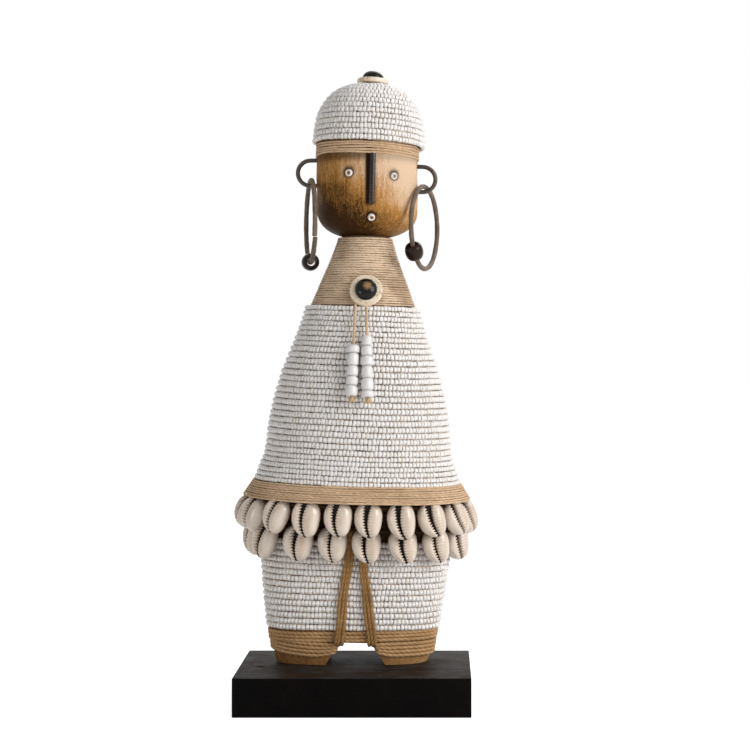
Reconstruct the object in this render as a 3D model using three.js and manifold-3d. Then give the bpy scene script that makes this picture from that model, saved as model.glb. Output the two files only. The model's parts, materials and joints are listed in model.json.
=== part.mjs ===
// A namji doll on its plinth: a carved wooden figure dressed in strung beads, wound twine and cowrie shells.
// Millimetres and degrees. +Z is up, the doll faces -Y, and the origin is the centre of the plinth's underside.
import * as THREE from 'three';
import { mergeVertices } from 'three/addons/utils/BufferGeometryUtils.js';
import Module from 'manifold-3d';

const wasm = await Module();
wasm.setup();

// Fits
const CLEARANCE = 0.3;

// Plinth
const PLINTH = { width: 126.2, depth: 77.3, height: 20.8, easing: 1.6, topEasing: 0.5 };
const SCREW = { shank: 2.0, head: 4.0, headHeight: 2.6, grip: 17, point: 3, spread: 29 };
const COUNTERBORE = { depth: 7.0, allowance: 0.8 };

// Where the doll stands, and how far it leans towards +X
const STAND = { x: -2.3, y: 10 };
const LEAN = 1.8;

// Carved leg block: half widths and half depths of the wood, and the arch that parts the feet
const SOLE = { halfWidth: 42.6, halfDepth: 16.0 };
const ANKLE = { halfWidth: 45.6, halfDepth: 18.7 };
const THIGH = { share: 0.55, halfWidth: 49.8, halfDepth: 23.0 };
const HIP = { halfWidth: 51.0, halfDepth: 26.0 };
const LEG_SQUARENESS = 2.6;
const ARCH = { height: 12.8, waist: 6.4, soleHalf: 16.5, waistHalf: 13.0, topHalf: 10.0, offset: 2.6 };
const LEG_HEIGHT = 89.5;

// Carved bell, neck and head
const LIP = { drop: 2.6, halfWidth: 62.0, halfDepth: 47.0 };
const HEM = { height: 7.5, halfWidth: 56.0, halfDepth: 42.4 };
const BELL_HEIGHT = 96.3;
const SKIRT = { share: 0, halfWidth: 55.0, halfDepth: 41.6 };
const SKIRT_CURVE = { share: 0.12, halfWidth: 50.8, halfDepth: 39.8 };
const WAIST = { share: 0.3, halfWidth: 47.9, halfDepth: 39.2 };
const CHEST = { share: 0.53, halfWidth: 43.7, halfDepth: 37.2 };
const UPPER_CHEST = { share: 0.77, halfWidth: 36.4, halfDepth: 32.2 };
const SHOULDER = { share: 1, halfWidth: 29.4, halfDepth: 27.0 };
const BELL_FLANK = [SKIRT, SKIRT_CURVE, WAIST, CHEST, UPPER_CHEST, SHOULDER];
const BELL_SQUARENESS = 2.15;
const NECK_HEIGHT = 38.0;
const NECK_FOOT = { share: 0, halfWidth: 27.4, halfDepth: 25.2 };
const LOWER_NECK = { share: 0.35, halfWidth: 22.2, halfDepth: 20.8 };
const UPPER_NECK = { share: 0.68, halfWidth: 17.2, halfDepth: 16.6 };
const NECK_TOP = { share: 1, halfWidth: 13.1, halfDepth: 13.0 };
const NECK_FLANK = [NECK_FOOT, LOWER_NECK, UPPER_NECK, NECK_TOP];
const NECK_SQUARENESS = 2;
const NECK_SEAT = 0.8;
const HEAD = { halfWidth: 28.0, halfDepth: 27.0, jaw: 19.0, brow: 44.0, shift: 1.0, squareness: 2.1 };
const CAP = { bandHeight: 7.4, halfWidth: 28.5, halfDepth: 27.5, domeHeight: 32.1, domeSquareness: 2.6,
  roll: 2.6, pitch: 1.4 };
const DOME_STATIONS = [0, 0.24, 0.45, 0.66, 0.86];

// Strung beads: one rib to a row
const BEAD_DEPTH = 2.6;
const ROW_GROOVE = 1.4;
const DRESS_ROWS = 31;
const LEG_ROWS = 13;
const LEG_ROW_PITCH = 3.3;
const CAP_ROWS = 13;

// Wound twine: turns and radius of each winding
const NECK_TWINE = { turns: 15, radius: 0.95 };
const HEM_TWINE = { turns: 6, radius: 0.43 };
const BROW_TWINE = { turns: 4, radius: 0.5 };
const ANKLE_TWINE = { turns: 4, radius: 0.65, pitch: 1.8 };
const FOOT_TWINE = { turns: 2, radius: 0.7, pitch: 2.0, start: 5.0, slack: 0.3 };
const TIE = { strands: 4, strandWidth: 1.3, thickness: 1.5, footSpread: 9.0, topSpread: 3.2, joinLevel: 60,
  offset: 2.3, underShare: 0.93, turnIn: 1.2 };

// Cowrie shells and the cords that they are strung on
const COWRIE = { length: 18.6, width: 14.6, thickness: 6.0, groove: 0.55, neck: 1.9 };
const SHELL_CORD = 0.9;
const UPPER_SHELLS = { count: 20, phase: 0.51, drop: 3.2, sideTilt: 22, frontTilt: 5, sideInset: 3.0,
  frontInset: 6.6, squareness: 2.3 };
const LOWER_SHELLS = { count: 16, phase: 0.4, level: 75.8, sideTilt: 4, frontTilt: 3 };

// Face: rod for a nose, ring beads for eyes and mouth
const FACE_TURN = 7;
const NOSE = { radius: 1.75, length: 27, proud: 0.55 };
const RING_BEAD = { radius: 2.4, hole: 0.8, thickness: 2.2, proud: 1.0 };
const EYES = { height: 33.8, spread: 26.5, slope: 0.75 };
const MOUTH_HEIGHT = 10.5;

// Ears, hoops and their beads
const EAR = { radius: 7.0, wire: 1.2, set: 5.5 };
const EAR_LEFT = { reach: 3.6, height: 37.1 };
const EAR_RIGHT = { reach: 2.9, height: 33.6 };
const HOOP = { radius: 22.8, cord: 1.35, cutGap: 1.6 };
const HOOP_LEFT = { turn: 12.5, cutAt: 64.6, beadAt: 0, inward: 0.2 };
const HOOP_RIGHT = { turn: -19, cutAt: 51.4, beadAt: 51.4, inward: -0.9 };
const HOOP_BEAD = { radius: 5.2, halfLength: 4.5 };

// Crown, medallion and the two strings under it
const CROWN_DISC = { radius: 8.7, thickness: 2.8 };
const CROWN_STUD = { radius: 5.9, height: 4.0, shank: 13 };
const CROWN_OPENING = 6;
const MEDALLION_DISC = { radius: 8.95, thickness: 3.0 };
const MEDALLION_STUD = { radius: 6.05, height: 3.8, shank: 2.6 };
const STUD_SHANK_RADIUS = 1.0;
const MEDALLION = { x: 2.5, belowJaw: 30.4, slope: 18.5 };
const STRING = { radius: 0.6, beadRadius: 3.2, beadHole: 1.0, knotRadius: 1.5, knotLength: 3.0 };
const STRING_LEFT = { x: -2.7, splay: 0, beads: [4.2, 6.6, 5.4, 4.7, 5.6], beadsBelowJaw: 58.8 };
const STRING_RIGHT = { x: 3.3, splay: 3, beads: [5.4, 5.2, 5.2, 6.4, 6.4, 3.6], beadsBelowJaw: 53.6 };

// Facets
const SIDES = 20;
const FOOT_SIDES = 16;

const TURN = Math.PI * 2;
const radians = THREE.MathUtils.degToRad;
const UP = new THREE.Vector3(0, 0, 1);

// Levels above the soles
const hipLevel = LEG_HEIGHT;
const lipLevel = hipLevel + LIP.drop;
const hemLevel = lipLevel + HEM.height;
const shoulderLevel = hemLevel + BELL_HEIGHT;
const jawLevel = shoulderLevel + NECK_HEIGHT;
const ankleTwineBottom = ARCH.height + CLEARANCE + ANKLE_TWINE.radius;
const ankleLevel = ankleTwineBottom + (ANKLE_TWINE.turns + 1) * ANKLE_TWINE.pitch;

// The carved wood's section at every level, smooth flanks being splines through their stations
function flank(stations, bottom, height, squareness, samples) {
  const curve = new THREE.CatmullRomCurve3(
    stations.map((s) => new THREE.Vector3(s.halfWidth, s.halfDepth, bottom + s.share * height)),
    false,
    'centripetal',
  );
  return curve.getPoints(samples).map((p) => ({ level: p.z, w: p.x, d: p.y, power: squareness }));
}

const legSections = [
  { level: 0, w: SOLE.halfWidth, d: SOLE.halfDepth, power: LEG_SQUARENESS },
  { level: ankleLevel, w: ANKLE.halfWidth, d: ANKLE.halfDepth, power: LEG_SQUARENESS },
  {
    level: ankleLevel + THIGH.share * (hipLevel - ankleLevel),
    w: THIGH.halfWidth,
    d: THIGH.halfDepth,
    power: LEG_SQUARENESS,
  },
  { level: hipLevel, w: HIP.halfWidth, d: HIP.halfDepth, power: LEG_SQUARENESS },
];
const bellSections = flank(BELL_FLANK, hemLevel, BELL_HEIGHT, BELL_SQUARENESS, 7);
const torsoSections = [
  { level: lipLevel, w: LIP.halfWidth, d: LIP.halfDepth, power: BELL_SQUARENESS },
  { level: hemLevel - 0.01, w: HEM.halfWidth, d: HEM.halfDepth, power: BELL_SQUARENESS },
  ...bellSections,
  ...flank(NECK_FLANK, shoulderLevel + NECK_SEAT, NECK_HEIGHT - NECK_SEAT, NECK_SQUARENESS, 3),
];
const coreSections = [...legSections, ...torsoSections];

function sectionAt(sections, level, offset = 0) {
  let upper = sections.findIndex((s) => s.level >= level);
  if (upper < 0) upper = sections.length - 1;
  const high = sections[upper];
  const low = sections[Math.max(upper - 1, 0)];
  const span = high.level - low.level;
  const share = span > 0 ? THREE.MathUtils.clamp((level - low.level) / span, 0, 1) : 0;
  const mix = THREE.MathUtils.lerp;
  return {
    level,
    w: mix(low.w, high.w, share) + offset,
    d: mix(low.d, high.d, share) + offset,
    power: mix(low.power, high.power, share),
  };
}

// Half width of the arch between the feet at a level, and the level of its ceiling at a distance aside
function archHalfAt(level) {
  if (level <= ARCH.waist) {
    return THREE.MathUtils.lerp(ARCH.soleHalf, ARCH.waistHalf, Math.max(level, 0) / ARCH.waist);
  }
  const rise = Math.min((level - ARCH.waist) / (ARCH.height - ARCH.waist), 1);
  return ARCH.topHalf + (ARCH.waistHalf - ARCH.topHalf) * Math.sqrt(1 - rise ** 2);
}
function archCeilingAt(aside) {
  const share = THREE.MathUtils.clamp((aside - ARCH.topHalf) / (ARCH.waistHalf - ARCH.topHalf), 0, 1);
  return ARCH.waist + (ARCH.height - ARCH.waist) * Math.sqrt(1 - share ** 2);
}

// Distance from the axis to a rounded-square section in a direction seen from above
function reach(section, angle) {
  const across = Math.abs(Math.cos(angle)) / section.w;
  const along = Math.abs(Math.sin(angle)) / section.d;
  return (across ** section.power + along ** section.power) ** (-1 / section.power);
}

function pointOn(section, angle) {
  const r = reach(section, angle);
  return new THREE.Vector3(r * Math.cos(angle), r * Math.sin(angle), section.level);
}

function ringOf(section, sides = SIDES) {
  return Array.from({ length: sides }, (_, side) => pointOn(section, (side / sides) * TURN));
}

// A skin of triangles through rings of equal count, capped at both ends or wrapped round to its start.
// From the ring named by turnedFrom the rings run back down, and the diagonals turn to match the way up.
function loft(rings, wrapped = false, turnedFrom = Infinity) {
  const sides = rings[0].length;
  const positions = rings.flat().flatMap((p) => [p.x, p.y, p.z]);
  const index = [];
  const bands = wrapped ? rings.length : rings.length - 1;
  for (let band = 0; band < bands; band += 1) {
    const low = band * sides;
    const high = ((band + 1) % rings.length) * sides;
    for (let side = 0; side < sides; side += 1) {
      const next = (side + 1) % sides;
      if (band < turnedFrom) {
        index.push(low + side, low + next, high + next, low + side, high + next, high + side);
      } else {
        index.push(low + side, low + next, high + side, low + next, high + next, high + side);
      }
    }
  }
  if (!wrapped) {
    const last = (rings.length - 1) * sides;
    for (let side = 1; side < sides - 1; side += 1) {
      index.push(0, side + 1, side, last, last + side, last + side + 1);
    }
  }
  return new THREE.BufferGeometry()
    .setAttribute('position', new THREE.Float32BufferAttribute(positions, 3))
    .setIndex(index);
}

// Shared vertices merged and flat triangles dropped
function welded(geometry) {
  const bare = geometry.clone();
  for (const name of Object.keys(bare.attributes)) {
    if (name !== 'position') bare.deleteAttribute(name);
  }
  const merged = mergeVertices(bare, 1e-4);
  const source = merged.index.array;
  const index = [];
  for (let i = 0; i < source.length; i += 3) {
    const [a, b, c] = [source[i], source[i + 1], source[i + 2]];
    if (a !== b && b !== c && c !== a) index.push(a, b, c);
  }
  return merged.setIndex(index);
}

function solidOf(geometry) {
  const merged = welded(geometry);
  return new wasm.Manifold(
    new wasm.Mesh({
      numProp: 3,
      vertProperties: merged.attributes.position.array,
      triVerts: new Uint32Array(merged.index.array),
    }),
  );
}

function geometryOf(solid) {
  const mesh = solid.getMesh();
  const positions = [];
  for (let i = 0; i < mesh.vertProperties.length; i += mesh.numProp) {
    positions.push(mesh.vertProperties[i], mesh.vertProperties[i + 1], mesh.vertProperties[i + 2]);
  }
  return new THREE.BufferGeometry()
    .setAttribute('position', new THREE.Float32BufferAttribute(positions, 3))
    .setIndex(Array.from(mesh.triVerts));
}

// A turned piece: profile points are radius and height, anticlockwise, about the Z axis
function turned(profile, segments) {
  const points = profile.map(([radius, height]) => new THREE.Vector2(radius, height));
  return welded(new THREE.LatheGeometry(points, segments).rotateX(Math.PI / 2));
}

// A ring of a tube's section: the reference direction keeps the tube from twisting
function tubeRing(centre, tangent, reference, radius, sides) {
  const across = reference.clone().addScaledVector(tangent, -reference.dot(tangent)).normalize();
  const along = new THREE.Vector3().crossVectors(tangent, across);
  return Array.from({ length: sides }, (_, side) => {
    const angle = (side / sides) * TURN;
    return centre
      .clone()
      .addScaledVector(across, radius * Math.cos(angle))
      .addScaledVector(along, radius * Math.sin(angle));
  });
}

function tangentsOf(points, closed) {
  const count = points.length;
  return points.map((point, i) => {
    const before = closed ? points[(i + count - 1) % count] : points[Math.max(i - 1, 0)];
    const after = closed ? points[(i + 1) % count] : points[Math.min(i + 1, count - 1)];
    return after.clone().sub(before).normalize();
  });
}

function tube(points, radius, sides, reference, closed = false) {
  const tangents = tangentsOf(points, closed);
  const rings = points.map((point, i) => {
    const towards = typeof reference === 'function' ? reference(point) : reference;
    return tubeRing(point, tangents[i], towards, radius, sides);
  });
  return loft(rings, closed);
}

function outwards(point) {
  return new THREE.Vector3(point.x, point.y, 0).normalize();
}

// Twine wound as one unbroken tube; its least gap to itself is measured on its points and printed
function winding(name, twine, steps, sides, centreAt, reference = outwards) {
  const points = [];
  for (let step = 0; step <= twine.turns * steps; step += 1) {
    points.push(centreAt(step / steps));
  }
  let least = Infinity;
  for (let i = 0; i < points.length; i += 1) {
    for (let j = i + Math.floor(steps / 2); j < points.length; j += 1) {
      least = Math.min(least, points[i].distanceTo(points[j]) - 2 * twine.radius);
    }
  }
  console.log(`${name}: least gap between turns ${least.toFixed(2)} mm`);
  const diameter = 2 * twine.radius;
  const startWay = points[0].clone().sub(points[1]).normalize();
  const endWay = points.at(-1).clone().sub(points.at(-2)).normalize();
  points.unshift(points[0].clone().addScaledVector(startWay, diameter));
  points.push(points.at(-1).clone().addScaledVector(endWay, diameter));
  return tube(points, twine.radius, sides, reference);
}

// Twine wound round the carved wood between two levels
function bandWinding(name, twine, sections, bottom, top, sides) {
  const standoff = CLEARANCE + twine.radius;
  return winding(name, twine, SIDES, sides, (turn) => {
    const level = THREE.MathUtils.lerp(bottom, top, turn / twine.turns);
    return pointOn(sectionAt(sections, level, standoff), turn * TURN);
  });
}

// Rows of strung beads as a sleeve over the wood: a crest at each row's middle, a groove between rows
function beadedSleeve(sections, bottom, rows, pitch, plainTop) {
  const crest = CLEARANCE + BEAD_DEPTH;
  const groove = crest - ROW_GROOVE;
  const outer = [];
  for (let row = 0; row < rows; row += 1) {
    const level = bottom + row * pitch;
    outer.push(ringOf(sectionAt(sections, level, groove)));
    outer.push(ringOf(sectionAt(sections, level + pitch / 2, crest)));
  }
  outer.push(ringOf(sectionAt(sections, bottom + rows * pitch, groove)));
  const top = Math.max(plainTop, bottom + rows * pitch);
  if (top > bottom + rows * pitch) outer.push(ringOf(sectionAt(sections, top, groove)));
  const between = sections.filter((s) => s.level > bottom && s.level < top).map((s) => s.level);
  const inner = [bottom, ...between, top].map((level) => ringOf(sectionAt(sections, level, CLEARANCE)));
  return loft([...outer, ...inner.reverse()], true, outer.length);
}

// Materials
function finish(color, roughness, metalness = 0) {
  return new THREE.MeshStandardMaterial({ color, roughness, metalness, flatShading: true });
}
const blackWood = finish(0x16140f, 0.35);
const carvedWood = finish(0x9a6a3c, 0.55);
const whiteBead = finish(0xe9e4dc, 0.35);
const jute = finish(0xb08d62, 0.9);
const shell = finish(0xe2d2bb, 0.3);
const darkWire = finish(0x4a3d33, 0.5, 0.3);
const hoopCord = finish(0x6e5f50, 0.7);
const darkBead = finish(0x2b1a12, 0.3);
const glossBlack = finish(0x120e0c, 0.12);
const bone = finish(0xead9bd, 0.5);
const steel = finish(0x9b9b98, 0.4, 0.9);

function part(name, geometry, material, group) {
  const mesh = new THREE.Mesh(geometry, material);
  mesh.name = name;
  group.add(mesh);
  return mesh;
}

// Frames: the doll leans, its head stands plumb, and the cap sits a little askew on the head
const namjiDoll = new THREE.Group();
const doll = new THREE.Group();
doll.position.set(STAND.x, STAND.y, PLINTH.height);
doll.rotation.y = radians(LEAN);
namjiDoll.add(doll);

const head = new THREE.Group();
head.position.set(HEAD.shift, 0, jawLevel);
head.rotation.y = -radians(LEAN);
doll.add(head);

const cap = new THREE.Group();
cap.position.set(0, 0, HEAD.brow);
cap.rotation.set(radians(-CAP.pitch), radians(CAP.roll), 0);
head.add(cap);
namjiDoll.updateMatrixWorld(true);

const worldToDoll = doll.matrixWorld.clone().invert();
function inDoll(geometry, frame) {
  return geometry.clone().applyMatrix4(frame.matrixWorld).applyMatrix4(worldToDoll);
}

// Sections of the wood under the cap, in the cap's frame
const headSection = { w: HEAD.halfWidth, d: HEAD.halfDepth, power: HEAD.squareness };
function domeSection(angle, offset) {
  const halfWidth = CAP.halfWidth + offset;
  const r = reach({ w: halfWidth, d: CAP.domeHeight + offset, power: CAP.domeSquareness }, angle);
  const w = r * Math.cos(angle);
  const level = CAP.bandHeight + r * Math.sin(angle);
  return { level, w, d: (w * (CAP.halfDepth + offset)) / halfWidth, power: HEAD.squareness };
}
const capAngles = DOME_STATIONS.map((share) => (share * Math.PI) / 2);
const capSections = [
  { ...headSection, level: 0 },
  { ...headSection, level: CAP.bandHeight - 0.01 },
  ...capAngles.map((angle) => domeSection(angle, 0)),
];

function headSectionAt(height, offset = 0) {
  const below = THREE.MathUtils.clamp((HEAD.jaw - height) / HEAD.jaw, 0, 1);
  const share = Math.sqrt(1 - below ** 3);
  const { w, d, power } = headSection;
  return { level: height, w: w * share + offset, d: d * share + offset, power };
}

// A frame on the head's surface whose +Z points out of the face; azimuth 0 is straight ahead
function frameOnHead(azimuth, height, depth) {
  const frame = new THREE.Group();
  const angle = radians(azimuth) - Math.PI / 2;
  const surface = pointOn(headSectionAt(height), angle);
  const higher = pointOn(headSectionAt(height + 1), angle);
  const slope = Math.atan2(Math.hypot(higher.x, higher.y) - Math.hypot(surface.x, surface.y), 1);
  const out = outwards(surface).multiplyScalar(Math.cos(slope)).addScaledVector(UP, -Math.sin(slope));
  frame.position.copy(surface).addScaledVector(out, depth);
  frame.quaternion.setFromUnitVectors(UP, out);
  head.add(frame);
  frame.updateMatrixWorld(true);
  return frame;
}

// Plinth, with counterbored holes for the two screws
function plinthRing(inset, level) {
  const w = PLINTH.width / 2 - inset;
  const d = PLINTH.depth / 2 - inset;
  const corner = PLINTH.topEasing;
  const corners = [
    [w, -d + corner], [w, d - corner], [w - corner, d], [-w + corner, d],
    [-w, d - corner], [-w, -d + corner], [-w + corner, -d], [w - corner, -d],
  ];
  return corners.map(([x, y]) => new THREE.Vector3(x, y, level));
}

function cylinder(radius, bottom, top, segments = 12) {
  return turned([[0, bottom], [radius, bottom], [radius, top], [0, top]], segments);
}

const screwPlaces = [
  { name: 'screw_left', x: STAND.x + ARCH.offset / 2 - SCREW.spread },
  { name: 'screw_right', x: STAND.x + ARCH.offset / 2 + SCREW.spread },
];

function makePlinth() {
  let solid = solidOf(loft([
    plinthRing(PLINTH.easing, 0),
    plinthRing(0, PLINTH.easing),
    plinthRing(0, PLINTH.height - PLINTH.topEasing),
    plinthRing(PLINTH.topEasing, PLINTH.height),
  ]));
  for (const { x } of screwPlaces) {
    const boring = cylinder(SCREW.shank + CLEARANCE, -1, PLINTH.height + 1).translate(x, STAND.y, 0);
    const pocket = cylinder(SCREW.head + COUNTERBORE.allowance, -1, COUNTERBORE.depth).translate(x, STAND.y, 0);
    solid = solid.subtract(solidOf(boring)).subtract(solidOf(pocket));
  }
  return geometryOf(solid);
}
part('plinth', makePlinth(), blackWood, namjiDoll);

const screwTip = PLINTH.height + CLEARANCE + SCREW.grip;
for (const { name, x } of screwPlaces) {
  const headTop = COUNTERBORE.depth - CLEARANCE;
  const profile = [
    [0, headTop - SCREW.headHeight], [SCREW.head * 0.7, headTop - SCREW.headHeight],
    [SCREW.head, headTop - SCREW.headHeight / 2], [SCREW.head, headTop], [SCREW.shank, headTop],
    [SCREW.shank, screwTip - SCREW.point], [0, screwTip],
  ];
  part(name, turned(profile, 12), steel, namjiDoll).position.set(x, STAND.y, 0);
}

// Ear wires: a bend with two level legs that are set into the side of the head
function earPath(side, reachIn, extra = 0) {
  const leg = reachIn + EAR.set + extra;
  const bend = Array.from({ length: 11 }, (_, i) => {
    const angle = Math.PI / 2 - (i / 10) * Math.PI;
    return new THREE.Vector3(side * EAR.radius * Math.cos(angle), 0, EAR.radius * Math.sin(angle));
  });
  const start = new THREE.Vector3(-side * leg, 0, EAR.radius);
  const end = new THREE.Vector3(-side * leg, 0, -EAR.radius);
  return [start, ...bend, end];
}

const ears = [
  { label: 'left', side: -1, place: EAR_LEFT, hoop: HOOP_LEFT },
  { label: 'right', side: 1, place: EAR_RIGHT, hoop: HOOP_RIGHT },
];
for (const ear of ears) {
  ear.frame = new THREE.Group();
  ear.frame.position.set(ear.side * (HEAD.halfWidth + ear.place.reach), 0, ear.place.height);
  head.add(ear.frame);
  ear.frame.updateMatrixWorld(true);
}

const eyeFrames = [
  { name: 'eye_left', frame: frameOnHead(FACE_TURN - EYES.spread, EYES.height + EYES.slope, RING_BEAD.proud) },
  { name: 'eye_right', frame: frameOnHead(FACE_TURN + EYES.spread, EYES.height - EYES.slope, RING_BEAD.proud) },
  { name: 'mouth_ring', frame: frameOnHead(FACE_TURN, MOUTH_HEIGHT, RING_BEAD.proud) },
];

// Nose rod: its round lower end hangs clear, and its top reaches the brow band
const noseFrame = new THREE.Group();
noseFrame.rotation.z = radians(FACE_TURN);
noseFrame.position.copy(pointOn(headSectionAt(HEAD.brow, NOSE.proud - NOSE.radius), radians(FACE_TURN - 90)));
head.add(noseFrame);
noseFrame.updateMatrixWorld(true);

function noseRod(spare) {
  const radius = NOSE.radius + spare;
  const top = -CLEARANCE - 0.4 + spare;
  const bottom = -NOSE.length - spare;
  return turned([
    [0, bottom], [radius * 0.7, bottom + radius * 0.3], [radius, bottom + radius], [radius, top], [0, top],
  ], 12);
}

// Medallion frame on the front of the neck, +Z out of the chest
const medallionLevel = jawLevel - MEDALLION.belowJaw;
const neckDepth = sectionAt(coreSections, medallionLevel).d;
const medallionFrame = new THREE.Group();
const medallionStandoff = 2 * CLEARANCE + 2 * NECK_TWINE.radius;
medallionFrame.rotation.x = radians(90 - MEDALLION.slope);
medallionFrame.position.set(MEDALLION.x, -neckDepth, medallionLevel);
doll.add(medallionFrame);
medallionFrame.updateMatrixWorld(true);

// The carved figure: leg block, bell and neck in one, with the head, then every seat cut into it
function makeFigure() {
  const footing = { ...legSections[0], level: -4 };
  const legs = [footing, ...legSections].map((s) => ringOf(s));
  const rootSection = { ...coreSections.at(-1), level: jawLevel + 8 };
  const torso = [...torsoSections, rootSection].map((s) => ringOf(s));
  let solid = solidOf(loft([...legs, ...torso]));

  const headRings = [0, 0.08, 0.3, 0.6, 1].map((share) => ringOf(headSectionAt(share * HEAD.jaw)));
  headRings[0] = ringOf({ ...headSectionAt(0.01 * HEAD.jaw), level: 0 });
  const lowerHead = headRings.map((ring) => ring.map((p) => p.applyMatrix4(head.matrixWorld)));
  const upperHead = capSections.map((s) => ringOf(s).map((p) => p.applyMatrix4(cap.matrixWorld)));
  const headSkin = loft([...lowerHead, ...upperHead]).applyMatrix4(worldToDoll);
  solid = solid.add(solidOf(headSkin));

  const rises = [0, 0.5, 0.8, 0.95, 1].map((share) => ARCH.waist + share * (ARCH.height - ARCH.waist));
  const wall = [-9, 0, ...rises].map((level) => new THREE.Vector2(archHalfAt(level), level));
  const otherWall = wall.map((p) => new THREE.Vector2(-p.x, p.y)).reverse();
  const span = 4 * HIP.halfDepth;
  const archShape = new THREE.Shape([...wall, ...otherWall]);
  const archCut = new THREE.ExtrudeGeometry(archShape, { depth: span, bevelEnabled: false });
  archCut.rotateX(Math.PI / 2).translate(ARCH.offset, span / 2, 0);
  solid = solid.subtract(solidOf(archCut));

  const below = new THREE.BoxGeometry(4 * SOLE.halfWidth, 4 * SOLE.halfWidth, 20);
  below.translate(0, 0, -10 + CLEARANCE).rotateY(-radians(LEAN));
  solid = solid.subtract(solidOf(below));

  for (const { x } of screwPlaces) {
    const pilot = cylinder(SCREW.shank + CLEARANCE, PLINTH.height - 2, screwTip + CLEARANCE, 12);
    solid = solid.subtract(solidOf(pilot.translate(x, STAND.y, 0).applyMatrix4(worldToDoll)));
  }
  for (const ear of ears) {
    const path = earPath(ear.side, ear.place.reach, CLEARANCE);
    for (const leg of [path.slice(0, 2), path.slice(-2)]) {
      const drilling = tube(leg, EAR.wire + CLEARANCE, 10, new THREE.Vector3(0, 1, 0));
      solid = solid.subtract(solidOf(inDoll(drilling, ear.frame)));
    }
  }
  for (const { frame } of eyeFrames) {
    const floor = -RING_BEAD.thickness - CLEARANCE;
    const recess = cylinder(RING_BEAD.radius + CLEARANCE, floor, RING_BEAD.proud + 1, 10);
    solid = solid.subtract(solidOf(inDoll(recess, frame)));
  }
  solid = solid.subtract(solidOf(inDoll(noseRod(CLEARANCE), noseFrame)));
  const boreFloor = crownLevel + CROWN_DISC.thickness - CROWN_STUD.shank;
  const crownBore = cylinder(STUD_SHANK_RADIUS + CLEARANCE, boreFloor, crownLevel + 9, 10);
  solid = solid.subtract(solidOf(inDoll(crownBore, cap)));
  return geometryOf(solid);
}

// Cap beads: rows at even steps up the dome, open at the crown under the disc
const crownAngle = Math.atan2(CAP.domeHeight + BEAD_DEPTH, CROWN_OPENING);
const crownLevel = domeSection(crownAngle, CLEARANCE + BEAD_DEPTH).level + 2 * CLEARANCE;
function domeRing(angle, offset) {
  const section = domeSection(angle, offset);
  return ringOf({ ...section, level: section.level + CLEARANCE });
}
function makeCapBeads() {
  const crest = CLEARANCE + BEAD_DEPTH;
  const groove = crest - ROW_GROOVE;
  const outer = [];
  for (let row = 0; row < CAP_ROWS; row += 1) {
    outer.push(domeRing((row / CAP_ROWS) * crownAngle, groove));
    outer.push(domeRing(((row + 0.5) / CAP_ROWS) * crownAngle, crest));
  }
  outer.push(domeRing(crownAngle, groove));
  const inner = [...capAngles.filter((angle) => angle < crownAngle), crownAngle];
  return loft([...outer, ...inner.map((angle) => domeRing(angle, CLEARANCE)).reverse()], true, outer.length);
}

// Disc with a rounded rim and a hole for the stud's shank, and the domed stud that pins it
function discGeometry(disc) {
  const rim = disc.thickness * 0.3;
  const hole = STUD_SHANK_RADIUS + CLEARANCE;
  return turned([
    [hole, 0], [disc.radius - rim, 0], [disc.radius, rim], [disc.radius, disc.thickness - rim],
    [disc.radius - rim, disc.thickness], [hole, disc.thickness], [hole, 0],
  ], 16);
}
function studGeometry(stud, disc) {
  const seat = disc.thickness + CLEARANCE;
  const dome = [0.33, 0.67].map((share) => {
    const angle = share * Math.PI / 2;
    return [stud.radius * Math.cos(angle), seat + stud.height * Math.sin(angle)];
  });
  const tip = seat - stud.shank;
  return turned([
    [0, tip], [STUD_SHANK_RADIUS, tip + STUD_SHANK_RADIUS], [STUD_SHANK_RADIUS, seat], [stud.radius, seat],
    ...dome, [0, seat + stud.height],
  ], 14);
}

part('carved_figure', makeFigure(), carvedWood, doll);
part('cap_beads', makeCapBeads(), whiteBead, cap);
const browTop = CAP.bandHeight - BROW_TWINE.radius - CLEARANCE;
const browBand = bandWinding('cap_band', BROW_TWINE, capSections, BROW_TWINE.radius, browTop, 4);
part('cap_band', browBand, jute, cap);
part('crown_disc', discGeometry(CROWN_DISC), bone, cap).position.z = crownLevel;
part('crown_stud', studGeometry(CROWN_STUD, CROWN_DISC), glossBlack, cap).position.z = crownLevel;

// Face
part('nose_rod', noseRod(0), glossBlack, noseFrame);
for (const { name, frame } of eyeFrames) {
  const { radius, hole, thickness } = RING_BEAD;
  const ring = turned([
    [hole, -thickness], [radius, -thickness], [radius, -thickness * 0.3], [hole, 0], [hole, -thickness],
  ], 10);
  part(name, ring, whiteBead, frame);
}

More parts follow.
